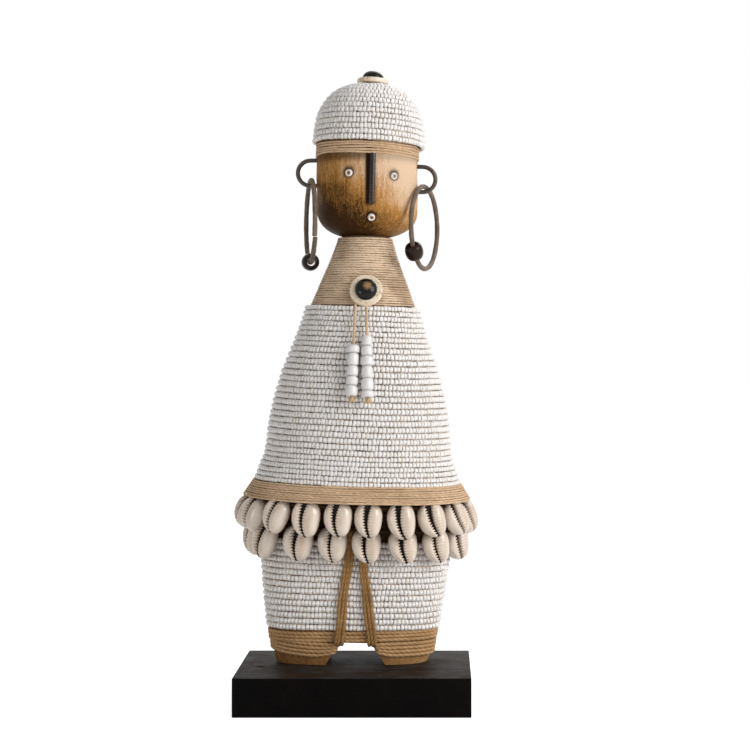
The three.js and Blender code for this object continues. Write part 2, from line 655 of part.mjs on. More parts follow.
// Ears, and the hoops that hang in them
const hangRise = EAR.wire + HOOP.cord + CLEARANCE + 0.1;
for (const ear of ears) {
  const wire = tube(earPath(ear.side, ear.place.reach), EAR.wire, 6, new THREE.Vector3(0, 1, 0));
  part(`ear_${ear.label}`, wire, darkWire, ear.frame);

  const hoopFrame = new THREE.Group();
  hoopFrame.position.set(-ear.side * ear.hoop.inward, 0, -EAR.radius);
  hoopFrame.rotation.z = radians(ear.hoop.turn);
  ear.frame.add(hoopFrame);
  const centre = hangRise - HOOP.radius;
  const onHoop = (angle, radius = HOOP.radius) =>
    new THREE.Vector3(0, -radius * Math.sin(angle), centre - radius * Math.cos(angle));
  const cut = radians(ear.hoop.cutAt);
  const halfGap = HOOP.cutGap / 2 / HOOP.radius;
  const steps = 26;
  const cord = Array.from({ length: steps + 1 }, (_, i) =>
    onHoop(cut + halfGap + (i / steps) * (TURN - 2 * halfGap)));
  part(`hoop_${ear.label}`, tube(cord, HOOP.cord, 5, new THREE.Vector3(1, 0, 0)), hoopCord, hoopFrame);

  const sagitta = HOOP.radius - Math.sqrt(HOOP.radius ** 2 - HOOP_BEAD.halfLength ** 2);
  const hole = HOOP.cord + CLEARANCE + sagitta / 2 + 0.1;
  const half = HOOP_BEAD.halfLength;
  const bulge = HOOP_BEAD.radius;
  const bead = turned([
    [hole, -half], [bulge * 0.68, -half * 0.85], [bulge, 0], [bulge * 0.68, half * 0.85], [hole, half], [hole, -half],
  ], 12);
  const beadMesh = part(`hoop_bead_${ear.label}`, bead, darkBead, hoopFrame);
  const at = radians(ear.hoop.beadAt);
  beadMesh.position.copy(onHoop(at, HOOP.radius - sagitta / 2));
  beadMesh.rotation.x = Math.PI / 2 - at;
}

// Neck twine, medallion and the strings with their beads
const neckTop = jawLevel - CLEARANCE - NECK_TWINE.radius - 0.6;
const neckBottom = shoulderLevel + CLEARANCE + NECK_TWINE.radius + 0.6;
part('neck_wrap', bandWinding('neck_wrap', NECK_TWINE, coreSections, neckBottom, neckTop, 4), jute, doll);
part('medallion_disc', discGeometry(MEDALLION_DISC), bone, medallionFrame).position.z = medallionStandoff;
const medallionStud = studGeometry(MEDALLION_STUD, MEDALLION_DISC);
part('medallion_stud', medallionStud, glossBlack, medallionFrame).position.z = medallionStandoff;

// Each string hangs from under the medallion's lower rim and lies along the front of the dress
const crestDepth = CLEARANCE + BEAD_DEPTH;
const slope = radians(MEDALLION.slope);
function rimLevelAt(x) {
  const drop = Math.sqrt(MEDALLION_DISC.radius ** 2 - (x - MEDALLION.x) ** 2);
  return medallionLevel + medallionStandoff * Math.sin(slope) - drop * Math.cos(slope);
}
for (const [label, string] of [['left', STRING_LEFT], ['right', STRING_RIGHT]]) {
  const beadRun = string.beads.reduce((sum, length) => sum + length + CLEARANCE, 0);
  const topLevel = rimLevelAt(string.x) - CLEARANCE;
  const restLevel = jawLevel - string.beadsBelowJaw;
  const depthAt = (level, radius) => sectionAt(coreSections, level, crestDepth).d + radius + CLEARANCE;
  const topDepth = depthAt(shoulderLevel - 1, STRING.radius);
  const restDepth = depthAt(restLevel, STRING.beadRadius);
  const lowDepth = depthAt(restLevel - beadRun, STRING.beadRadius);
  const lean = Math.atan2(lowDepth - topDepth, topLevel - restLevel + beadRun);
  const free = (topLevel - restLevel) / Math.cos(lean);
  const bulge = Math.max(0, restDepth - (topDepth + free * Math.sin(lean)));
  const frame = new THREE.Group();
  frame.position.set(string.x, -topDepth - bulge, topLevel);
  frame.rotation.set(-lean, radians(-string.splay), 0, 'ZXY');
  doll.add(frame);

  const knotTop = -free - beadRun;
  const length = STRING.knotLength - knotTop;
  const knot = STRING.knotRadius;
  const cord = turned([
    [0, -length], [knot * 0.7, -length], [knot, knotTop - 2], [knot * 0.7, knotTop - CLEARANCE],
    [STRING.radius, knotTop - CLEARANCE], [STRING.radius, 0], [0, 0],
  ], 8);
  part(`string_${label}`, cord, jute, frame);
  let top = -free;
  string.beads.forEach((beadLength, i) => {
    const bottom = top - beadLength;
    const side = Math.min(beadLength * 0.25, 1.2);
    const bead = turned([
      [STRING.beadHole, bottom], [STRING.beadRadius, bottom + side], [STRING.beadRadius, top - side],
      [STRING.beadHole, top], [STRING.beadHole, bottom],
    ], 7);
    part(`string_bead_${label}_${i + 1}`, bead, whiteBead, frame);
    top = bottom - CLEARANCE;
  });
}

// Dress, hem, legs and ankles
const dressBottom = hemLevel + CLEARANCE;
const dressPitch = (BELL_HEIGHT - CLEARANCE) / DRESS_ROWS;
part('dress_beads', beadedSleeve(bellSections, dressBottom, DRESS_ROWS, dressPitch, 0), whiteBead, doll);
const hemBottom = lipLevel + HEM_TWINE.radius;
const hemTop = hemLevel - HEM_TWINE.radius;
part('hem_band', bandWinding('hem_band', HEM_TWINE, coreSections, hemBottom, hemTop, 4), jute, doll);

const legBeadBottom = ankleLevel + CLEARANCE;
const legBeadTop = hipLevel - CLEARANCE;
part('leg_beads', beadedSleeve(legSections, legBeadBottom, LEG_ROWS, LEG_ROW_PITCH, legBeadTop), whiteBead, doll);
const ankleTop = ankleTwineBottom + ANKLE_TWINE.turns * ANKLE_TWINE.pitch;
const ankleBand = bandWinding('ankle_band', ANKLE_TWINE, coreSections, ankleTwineBottom, ankleTop, 4);
part('ankle_band', ankleBand, jute, doll);

// One foot's outline in steps, from the arch's front corner round the block to the arch's back corner
function footPoint(side, level, step, offset) {
  const block = sectionAt(coreSections, level, offset);
  const wall = ARCH.offset * side + archHalfAt(level + FOOT_TWINE.radius) - offset;
  const cornerDepth = block.d * (1 - (wall / block.w) ** block.power) ** (1 / block.power);
  const corner = Math.atan2(cornerDepth, wall);
  const point = pointOn(block, corner * (2 * step / (FOOT_SIDES - 1) - 1));
  return new THREE.Vector3(side * point.x, point.y, level);
}
for (const [label, side] of [['left', -1], ['right', 1]]) {
  const standoff = CLEARANCE + FOOT_TWINE.radius + FOOT_TWINE.slack;
  const middle = side * (ARCH.waistHalf + ANKLE.halfWidth) / 2;
  const wrap = winding(`foot_wrap_${label}`, FOOT_TWINE, FOOT_SIDES, 4, (turn) => {
    const level = FOOT_TWINE.start + turn * FOOT_TWINE.pitch;
    return footPoint(side, level, Math.round(turn * FOOT_SIDES) % FOOT_SIDES, standoff);
  }, (point) => new THREE.Vector3(point.x - middle, point.y, 0).normalize());
  part(`foot_wrap_${label}`, wrap, jute, doll);
}

// Cowrie: flat back, domed front with the toothed slot's groove, from its narrow top to its full foot
function cowrie() {
  const { length, width, thickness, groove } = COWRIE;
  const stations = [
    { at: 0.0, w: 0.42, t: 0.6 }, { at: 0.26, w: 0.9, t: 0.95 }, { at: 0.68, w: 0.98, t: 1.0 },
    { at: 1.0, w: 0.4, t: 0.45 },
  ];
  const outline = [[-0.96, 0], [-0.82, 0.74], [-0.18, 0.97], [-0.02, groove], [0.16, 0.92], [0.84, 0.7], [0.96, 0]];
  const rings = stations.map(({ at, w, t }) =>
    outline.map(([x, y]) => new THREE.Vector3(x * w * width / 2, -y * t * thickness, -at * length)));
  return loft(rings.reverse().map((ring) => [...ring]));
}

// A row of shells strung on a closed cord that follows a section, tilted out at their feet
function shellRow(row, section) {
  const dense = Array.from({ length: 721 }, (_, i) => pointOn(section, (i / 720) * TURN));
  const lengths = [0];
  for (let i = 1; i < dense.length; i += 1) {
    lengths.push(lengths[i - 1] + dense[i].distanceTo(dense[i - 1]));
  }
  const total = lengths.at(-1);
  const angleAt = (distance) => {
    const wrapped = ((distance % total) + total) % total;
    return (lengths.findIndex((l) => l >= wrapped) / 720) * TURN;
  };
  const cordPoints = Array.from({ length: row.count * 2 }, (_, i) =>
    pointOn(section, angleAt(((i / 2 + row.phase) / row.count + 0.75) * total)));
  let solid = solidOf(tube(cordPoints, SHELL_CORD, 3, outwards, true));
  for (let i = 0; i < row.count; i += 1) {
    const angle = angleAt(total * 0.75 + ((i + row.phase) / row.count) * total);
    const point = pointOn(section, angle);
    const ahead = pointOn(section, angle + 0.01).sub(pointOn(section, angle - 0.01));
    const heading = Math.atan2(ahead.y, ahead.x);
    const sideways = Math.abs(Math.cos(angle)) ** 2;
    const tilt = THREE.MathUtils.lerp(row.frontTilt, row.sideTilt, sideways);
    const frame = new THREE.Matrix4()
      .makeTranslation(point.x, point.y, point.z)
      .multiply(new THREE.Matrix4().makeRotationZ(heading))
      .multiply(new THREE.Matrix4().makeRotationX(-radians(tilt)));
    const shellGeometry = cowrie().translate(0, -SHELL_CORD / 2, COWRIE.neck).applyMatrix4(frame);
    solid = solid.add(solidOf(shellGeometry));
  }
  return geometryOf(solid);
}
const upperLevel = lipLevel - UPPER_SHELLS.drop;
const upperSection = {
  level: upperLevel,
  w: LIP.halfWidth - UPPER_SHELLS.sideInset,
  d: LIP.halfDepth - UPPER_SHELLS.frontInset,
  power: UPPER_SHELLS.squareness,
};
const lowerSkin = sectionAt(coreSections, LOWER_SHELLS.level, CLEARANCE + BEAD_DEPTH);
const lowerStandoff = 2 * CLEARANCE + TIE.thickness + SHELL_CORD;
const lowerSection = { ...lowerSkin, w: lowerSkin.w + lowerStandoff, d: lowerSkin.d + lowerStandoff };
part('shell_row_upper', shellRow(UPPER_SHELLS, upperSection), shell, doll);
part('shell_row_lower', shellRow(LOWER_SHELLS, lowerSection), shell, doll);

// Ties: strands laid side by side, down the front, under the arch and up the back
function tieStrap(side) {
  const skin = CLEARANCE + BEAD_DEPTH + CLEARANCE;
  const topLevel = LOWER_SHELLS.level + 2 * SHELL_CORD;
  const face = (level, sign) => {
    const spread = THREE.MathUtils.lerp(TIE.footSpread, TIE.topSpread, Math.min(level / TIE.joinLevel, 1));
    const block = sectionAt(coreSections, level, skin);
    return new THREE.Vector3(TIE.offset + side * spread, sign * block.d, level);
  };
  const levels = [topLevel, TIE.joinLevel, 45, 30, ankleLevel];
  const down = levels.map((level) => face(level, -1));
  const turnIn = face(ARCH.height + TIE.turnIn, -1);
  const outerEdge = TIE.footSpread + (TIE.strands * TIE.strandWidth) / 2;
  const underLevel = archCeilingAt(outerEdge + Math.abs(ARCH.offset - TIE.offset)) - CLEARANCE;
  const under = [-1, 1].map((sign) =>
    new THREE.Vector3(turnIn.x, -turnIn.y * sign * TIE.underShare, underLevel));
  const path = [
    ...down, turnIn, ...under, new THREE.Vector3(turnIn.x, -turnIn.y, turnIn.z),
    ...levels.map((level) => face(level, 1)).reverse(),
  ];
  return path;
}
function strapGeometry(path) {
  const half = TIE.strands * TIE.strandWidth / 2;
  const profile = [];
  for (let strand = 0; strand < TIE.strands; strand += 1) {
    const left = -half + strand * TIE.strandWidth;
    profile.push([left, strand ? TIE.thickness * 0.6 : 0]);
    profile.push([left + TIE.strandWidth * 0.3, TIE.thickness]);
    profile.push([left + TIE.strandWidth * 0.7, TIE.thickness]);
  }
  profile.push([half, 0]);
  profile.reverse();
  const across = new THREE.Vector3(1, 0, 0);
  const tangents = tangentsOf(path, false);
  const rings = path.map((point, i) => {
    const out = new THREE.Vector3().crossVectors(tangents[i], across).normalize();
    return profile.map(([x, y]) => point.clone().addScaledVector(across, x).addScaledVector(out, y));
  });
  return loft(rings);
}
part('leg_tie_left', strapGeometry(tieStrap(-1)), jute, doll);
part('leg_tie_right', strapGeometry(tieStrap(1)), jute, doll);

export default namjiDoll;
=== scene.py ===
"""The looks of a namji doll: carved wood, strung seed beads, wound twine and cowrie shells on a black plinth.

Sizes are in millimetres and degrees and become metres when a piece is put in place. Levels are heights
above the doll's soles along its own leaning axis. The doll faces -Y and +X is to the viewer's right.
"""

import json
import logging
import math
from dataclasses import dataclass, field
from enum import Enum
from typing import Callable, Optional, Sequence

import bmesh
import bpy
import numpy as np
from mathutils import Matrix, Vector


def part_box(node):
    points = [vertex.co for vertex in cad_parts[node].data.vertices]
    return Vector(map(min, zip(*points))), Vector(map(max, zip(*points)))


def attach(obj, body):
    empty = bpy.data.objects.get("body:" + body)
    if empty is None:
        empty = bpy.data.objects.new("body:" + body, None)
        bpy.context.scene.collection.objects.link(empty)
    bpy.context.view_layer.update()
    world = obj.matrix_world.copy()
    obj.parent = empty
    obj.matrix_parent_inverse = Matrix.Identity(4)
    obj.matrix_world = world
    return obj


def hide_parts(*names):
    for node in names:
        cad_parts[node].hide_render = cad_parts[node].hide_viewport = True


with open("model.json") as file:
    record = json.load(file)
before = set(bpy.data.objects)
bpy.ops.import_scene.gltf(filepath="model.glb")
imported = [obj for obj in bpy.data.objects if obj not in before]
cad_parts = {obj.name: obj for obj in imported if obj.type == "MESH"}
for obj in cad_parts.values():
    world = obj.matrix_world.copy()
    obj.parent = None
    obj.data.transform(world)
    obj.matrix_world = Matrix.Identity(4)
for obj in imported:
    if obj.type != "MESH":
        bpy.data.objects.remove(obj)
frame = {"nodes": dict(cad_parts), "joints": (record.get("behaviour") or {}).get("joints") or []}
log = logging.getLogger("namji_doll")

MM = 0.001
FULL_TURN = 2 * math.pi
TO_METRES = Matrix.Scale(MM, 4)
SOLES = Vector((-2.3, 10.0, 20.8))
LEAN = math.radians(1.8)
JAW_LEVEL = 233.9
HEAD_SHIFT = 1.0
BROW = 44.0
CAP_SHIFT = 0.45
CAP_ROLL = math.radians(2.9)
BAND_ROLL = math.radians(2.6)
CAP_PITCH = math.radians(-1.4)

DOLL_PLACE = Matrix.Translation(SOLES) @ Matrix.Rotation(LEAN, 4, "Y")
HEAD_PLACE = (
    DOLL_PLACE @ Matrix.Translation((HEAD_SHIFT, 0, JAW_LEVEL)) @ Matrix.Rotation(-LEAN, 4, "Y")
)


def brow_frame(shift: float, roll: float) -> Matrix:
    """A frame at the brow, moved towards +X and rolled."""
    return (
        HEAD_PLACE
        @ Matrix.Translation((shift, 0, BROW))
        @ Matrix.Rotation(CAP_PITCH, 4, "X")
        @ Matrix.Rotation(roll, 4, "Y")
    )


CAP_PLACE = brow_frame(CAP_SHIFT, CAP_ROLL)
BAND_PLACE = brow_frame(0, BAND_ROLL)

# Points below SETTLED_BELOW turn level with the plinth, more and more over the next SETTLED_OVER down.
SETTLED_BELOW = 60.0
SETTLED_OVER = 48.0

HEAD_POWER = 2.1
FACE_TURN = 7.6
EYE_SPREAD = 26.5
EYE_HEIGHT = 33.8
EYE_SLOPE = 0.75
MOUTH_HEIGHT = 10.5
FACE_HOLES = (
    (FACE_TURN - EYE_SPREAD, EYE_HEIGHT + EYE_SLOPE),
    (FACE_TURN + EYE_SPREAD, EYE_HEIGHT - EYE_SLOPE),
    (FACE_TURN, MOUTH_HEIGHT),
)

Points = np.ndarray
Placer = Callable[[Points, Points], Points]
Wave = Callable[[Points], Points]
Around = Callable[[Points], tuple[Points, Points]]
Colour = tuple[float, float, float]
Socket = bpy.types.NodeSocket


class Body(Enum):
    """The rigid bodies that pieces ride on."""

    DOLL = "doll"
    HOOP_LEFT = "hoop_left"
    HOOP_RIGHT = "hoop_right"
    HOOP_BEAD_LEFT = "hoop_bead_left"
    HOOP_BEAD_RIGHT = "hoop_bead_right"
    STRING_LEFT = "string_left"
    STRING_RIGHT = "string_right"
    STRING_BEADS_LEFT = "string_left_beads"
    STRING_BEADS_RIGHT = "string_right_beads"


class Side(Enum):
    """The viewer's left or right."""

    LEFT = -1
    RIGHT = 1

    @property
    def label(self) -> str:
        """The word used in node names."""
        return self.name.lower()

    def body(self, kind: str) -> Body:
        """This side's body of a kind, such as HOOP."""
        return Body[f"{kind}_{self.name}"]


# Mesh making


def as_mesh(bm: bmesh.types.BMesh, name: str) -> bpy.types.Mesh:
    """Turns a finished bmesh into a mesh and frees it."""
    mesh = bpy.data.meshes.new(name)
    bm.to_mesh(mesh)
    bm.free()
    return mesh


def laid_grid(
    name: str,
    across: int,
    along: int,
    place: Placer,
    weld: float = 0.004,
    clean: bool = True,
    uv: bool = True,
    painted: Optional[dict[str, Points]] = None,
) -> bpy.types.Mesh:
    """Lays an operator-made grid over a surface and closes its seams.

    Args:
        name: the mesh's name.
        across: faces in the u direction.
        along: faces in the v direction.
        place: gives a point in millimetres for each pair of u and v from 0 to 1.
        weld: the distance under which seam and pole points become one.
        clean: whether slivers are dissolved.
        uv: whether the mesh gets a UV map of u and v.
        painted: numbers for each point by attribute name; place may put them there.

    Returns:
        The mesh, with outward faces.
    """
    bm = bmesh.new()
    if uv:
        bm.loops.layers.uv.new("UVMap")
    bmesh.ops.create_grid(bm, x_segments=across, y_segments=along, size=0.5, calc_uvs=uv)
    flat = np.array([v.co[:] for v in bm.verts]) + 0.5
    points = place(np.round(flat[:, 0] * across) / across, np.round(flat[:, 1] * along) / along)
    for vert, point in zip(bm.verts, points.tolist()):
        vert.co = point
    for key, values in (painted or {}).items():
        layer = bm.verts.layers.float.new(key)
        for vert, value in zip(bm.verts, values.tolist()):
            vert[layer] = value
    bmesh.ops.remove_doubles(bm, verts=bm.verts, dist=weld)
    if clean:
        bmesh.ops.dissolve_degenerate(bm, edges=bm.edges, dist=weld / 2)
    bmesh.ops.recalc_face_normals(bm, faces=bm.faces)
    return as_mesh(bm, name)


def lathe(
    name: str,
    profile: Sequence[tuple[float, float]],
    segments: int,
    axis: tuple[int, int, int] = (0, 0, 1),
    weld: float = 0.002,
) -> bpy.types.Mesh:
    """Spins a profile right round.

    Args:
        name: the mesh's name.
        profile: points of radius and height; it starts and ends on the axis, or closes on itself. About X,
            points of X and radius.
        segments: steps of the full spin.
        axis: Z, or X.
        weld: the distance under which points become one.

    Returns:
        The closed mesh.
    """
    bm = bmesh.new()
    verts = [bm.verts.new((x, 0, z)) for x, z in profile]
    edges = [bm.edges.new(pair) for pair in zip(verts, verts[1:])]
    bmesh.ops.spin(
        bm, geom=verts + edges, cent=(0, 0, 0), axis=axis, angle=FULL_TURN, steps=segments, use_merge=True
    )
    bmesh.ops.remove_doubles(bm, verts=bm.verts, dist=weld)
    bmesh.ops.recalc_face_normals(bm, faces=bm.faces)
    return as_mesh(bm, name)


def unit(vectors: Points) -> Points:
    """Vectors at length one."""
    return vectors / np.maximum(np.linalg.norm(vectors, axis=-1, keepdims=True), 1e-9)


def tangents(path: Points, closed: bool = False) -> Points:
    """The way along a path at each of its points."""
    if closed:
        return unit(np.roll(path, -1, axis=0) - np.roll(path, 1, axis=0))
    return unit(np.gradient(path, axis=0))


@dataclass(frozen=True)
class Rope:
    """A round or plied cord's section.

    Attributes:
        radius: half its thickness.
        sides: faces round it.
        plies: strands twisted together; 0 is a plain round cord.
        twist: length of one full turn of the plies.
        groove: how deep the gap between plies cuts, as a share of the radius.
    """

    radius: float
    sides: int = 8
    plies: int = 0
    twist: float = 4.0
    groove: float = 0.3

    def lay(
        self, name: str, path: Points, outward: Points, closed: bool = False, swell: Optional[Points] = None
    ) -> bpy.types.Mesh:
        """Makes the cord along a path.

        Args:
            name: the mesh's name.
            path: the centre line's points, in millimetres.
            outward: for each point, a direction that keeps the section from turning.
            closed: whether the end joins the start.
            swell: for each point, a factor on the radius.

        Returns:
            The closed tube, with the depth of its grooves in the attribute "groove".
        """
        ahead = tangents(path, closed)
        over = unit(outward - ahead * np.sum(outward * ahead, axis=1, keepdims=True))
        beside = np.cross(ahead, over)
        steps = np.linalg.norm(np.diff(path, axis=0), axis=1)
        run = np.concatenate([[0.0], np.cumsum(steps)])
        grow = np.ones(len(path)) if swell is None else swell
        count = len(path)
        along = count if closed else count + 1
        painted: dict[str, Points] = {}

        def place(u: Points, v: Points) -> Points:
            row = np.round(v * along).astype(int)
            if closed:
                point, size = row % count, 1.0
            else:
                point = np.clip(row - 1, 0, count - 1)
                size = np.where((row == 0) | (row == along), 0.0, 1.0)
            angle = u * FULL_TURN
            depth = np.zeros(len(u))
            if self.plies:
                turned = angle - FULL_TURN * run[point] / self.twist
                depth = 0.5 - 0.5 * np.cos(self.plies * turned)
            painted["groove"] = depth
            radius = (self.radius * grow[point] * (1 - self.groove * depth) * size)[:, None]
            ring = np.cos(angle)[:, None] * over[point] + np.sin(angle)[:, None] * beside[point]
            return path[point] + radius * ring

        weld = min(0.02, self.radius * 0.05)
        return laid_grid(name, self.sides, along, place, weld, clean=False, painted=painted)


def repeated(name: str, shape: bpy.types.Mesh, places: Points, tints: Points) -> bpy.types.Mesh:
    """One mesh with a small shape at every place.

    Args:
        name: the mesh's name.
        shape: the shape to repeat, made by operators.
        places: one 4 by 4 matrix for each copy.
        tints: one random number from 0 to 1 for each copy, kept in the attribute "tint".

    Returns:
        The mesh of all copies, with "tint" and "end", which is 1 where a bead meets its neighbour.
    """
    verts = np.array([v.co[:] for v in shape.vertices])
    loops = np.array([loop.vertex_index for loop in shape.loops])
    starts = np.array([polygon.loop_start for polygon in shape.polygons])
    copies = len(places)
    stretched = np.einsum("nij,vj->nvi", places[:, :3, :3], verts) + places[:, None, :3, 3]
    mesh = bpy.data.meshes.new(name)
    mesh.vertices.add(copies * len(verts))
    mesh.vertices.foreach_set("co", stretched.reshape(-1).astype(np.float32))
    mesh.loops.add(copies * len(loops))
    every_loop = loops[None, :] + np.arange(copies)[:, None] * len(verts)
    mesh.loops.foreach_set("vertex_index", every_loop.reshape(-1).astype(np.int32))
    mesh.polygons.add(copies * len(starts))
    every_start = starts[None, :] + np.arange(copies)[:, None] * len(loops)
    mesh.polygons.foreach_set("loop_start", every_start.reshape(-1).astype(np.int32))
    tint = mesh.attributes.new("tint", "FLOAT", "POINT")
    tint.data.foreach_set("value", np.repeat(tints, len(verts)).astype(np.float32))
    end = mesh.attributes.new("end", "FLOAT", "POINT")
    reach = np.abs(verts[:, 0]) / max(np.abs(verts[:, 0]).max(), 1e-9)
    end.data.foreach_set("value", np.tile(reach**3, copies).astype(np.float32))
    mesh.update(calc_edges=True)
    mesh.validate()
    return mesh


@dataclass(frozen=True)
class Flank:
    """A body's outline in stations of level, half width and half depth, smooth between them."""

    stations: tuple[tuple[float, float, float], ...]
    power: float = 2.1

    def at(self, level: Points) -> tuple[Points, Points]:
        """Half widths and half depths at levels, by cubic steps through the stations."""
        table = np.array(self.stations)
        table = table[np.argsort(table[:, 0])]
        grid = table[:, 0]
        slopes = np.gradient(table[:, 1:], grid, axis=0)
        level = np.asarray(level, dtype=float)
        low = np.clip(np.searchsorted(grid, level, side="right") - 1, 0, len(grid) - 2)
        span = grid[low + 1] - grid[low]
        t = np.clip((level - grid[low]) / span, 0, 1)[..., None]
        span = span[..., None]
        start, end = table[low, 1:], table[low + 1, 1:]
        curve = (
            start * (2 * t**3 - 3 * t**2 + 1)
            + slopes[low] * span * (t**3 - 2 * t**2 + t)
            + end * (3 * t**2 - 2 * t**3)
            + slopes[low + 1] * span * (t**3 - t**2)
        )
        return curve[..., 0], curve[..., 1]


def settled(points: Points) -> Points:
    """Points near the soles, brought level with the plinth although the doll leans."""
    share = np.clip((SETTLED_BELOW - points[:, 2]) / SETTLED_OVER, 0, 1)
    lifted = points.copy()
    lifted[:, 2] += points[:, 0] * share * math.tan(LEAN)
    return lifted


def smoothed(points: Points, times: int) -> Points:
    """A line of points, each drawn between its neighbours a number of times."""
    points = points.copy()
    for _ in range(times):
        points[1:-1] = (points[:-2] + 2 * points[1:-1] + points[2:]) / 4
    return points


def squircle(width: Points, depth: Points, power: float, angle: Points, level: Points) -> Points:
    """Points of rounded-square sections, the angle being measured from +X as seen from above."""
    across, along = np.cos(angle), np.sin(angle)
    reach = ((np.abs(across) / width) ** power + (np.abs(along) / depth) ** power) ** (-1 / power)
    return np.stack([reach * across, reach * along, np.broadcast_to(level, reach.shape)], axis=-1)


class Ring:
    """A closed section that is walked by its length, from the front, towards +X.

    A ring below LEGS_TOP that is wider than NO_CAP goes round the legs; no ring of the cap is as wide.
    """

    SAMPLES = 1440
    REACH = 0.4
    LEGS_TOP = 68.0
    NO_CAP = 42.0

    def __init__(self, width: float, depth: float, power: float, level: float) -> None:
        """Samples the section and sums up its length."""
        angle = np.linspace(-math.pi / 2, 1.5 * math.pi, self.SAMPLES + 1)
        self.points = squircle(width, depth, power, angle, level)
        steps = np.linalg.norm(np.diff(self.points, axis=0), axis=1)
        self.run = np.concatenate([[0.0], np.cumsum(steps)])
        self.length = float(self.run[-1])

    def walk(self, distances: Points) -> tuple[Points, Points, Points]:
        """Points, tangents and outward directions at distances along the section."""
        wrapped = np.mod(distances, self.length)
        here = self._at(wrapped)
        after = self._at(np.mod(wrapped + self.REACH, self.length))
        ahead = unit(after - self._at(np.mod(wrapped - self.REACH, self.length)))
        out = np.stack([ahead[:, 1], -ahead[:, 0], np.zeros(len(ahead))], axis=1)
        return here, ahead, out

    def settle(self, points: Points) -> Points:
        """Points along this ring, settled if it goes round the legs."""
        on_legs = self.points[0, 2] < self.LEGS_TOP and self.points[:, 0].max() > self.NO_CAP
        return settled(points) if on_legs else points

    def _at(self, distances: Points) -> Points:
        """Points at distances that are inside one round."""
        return np.stack([np.interp(distances, self.run, self.points[:, axis]) for axis in range(3)], axis=1)


# Finishes


class Board:
    """A node tree that is laid down by short calls."""

    def __init__(self, tree: bpy.types.NodeTree) -> None:
        """Keeps the tree's nodes and links at hand."""
        self.nodes = tree.nodes
        self.links = tree.links

    def node(self, kind: str, **settings: object) -> bpy.types.Node:
        """Adds a node and sets its properties and its sockets by name."""
        made = self.nodes.new(kind)
        for key, value in settings.items():
            if hasattr(made, key):
                setattr(made, key, value)
            else:
                made.inputs[key].default_value = value
        return made

    def feed(self, socket: Socket, value) -> None:
        """Links a socket to another, or sets it to a number or a colour."""
        if isinstance(value, bpy.types.NodeSocket):
            self.links.new(value, socket)
        elif isinstance(value, tuple):
            socket.default_value = (*value, 1)
        else:
            socket.default_value = value

    def sums(self, operation: str, first, second) -> Socket:
        """Arithmetic on two values, each a socket or a number."""
        made = self.node("ShaderNodeMath", operation=operation)
        for socket, value in zip(made.inputs, (first, second)):
            self.feed(socket, value)
        return made.outputs[0]

    def seen(self) -> Socket:
        """One for the rays that show a background: camera, glossy and transmission rays."""
        path = self.node("ShaderNodeLightPath")
        shown = self.sums("MAXIMUM", path.outputs["Is Camera Ray"], path.outputs["Is Glossy Ray"])
        return self.sums("MAXIMUM", shown, path.outputs["Is Transmission Ray"])


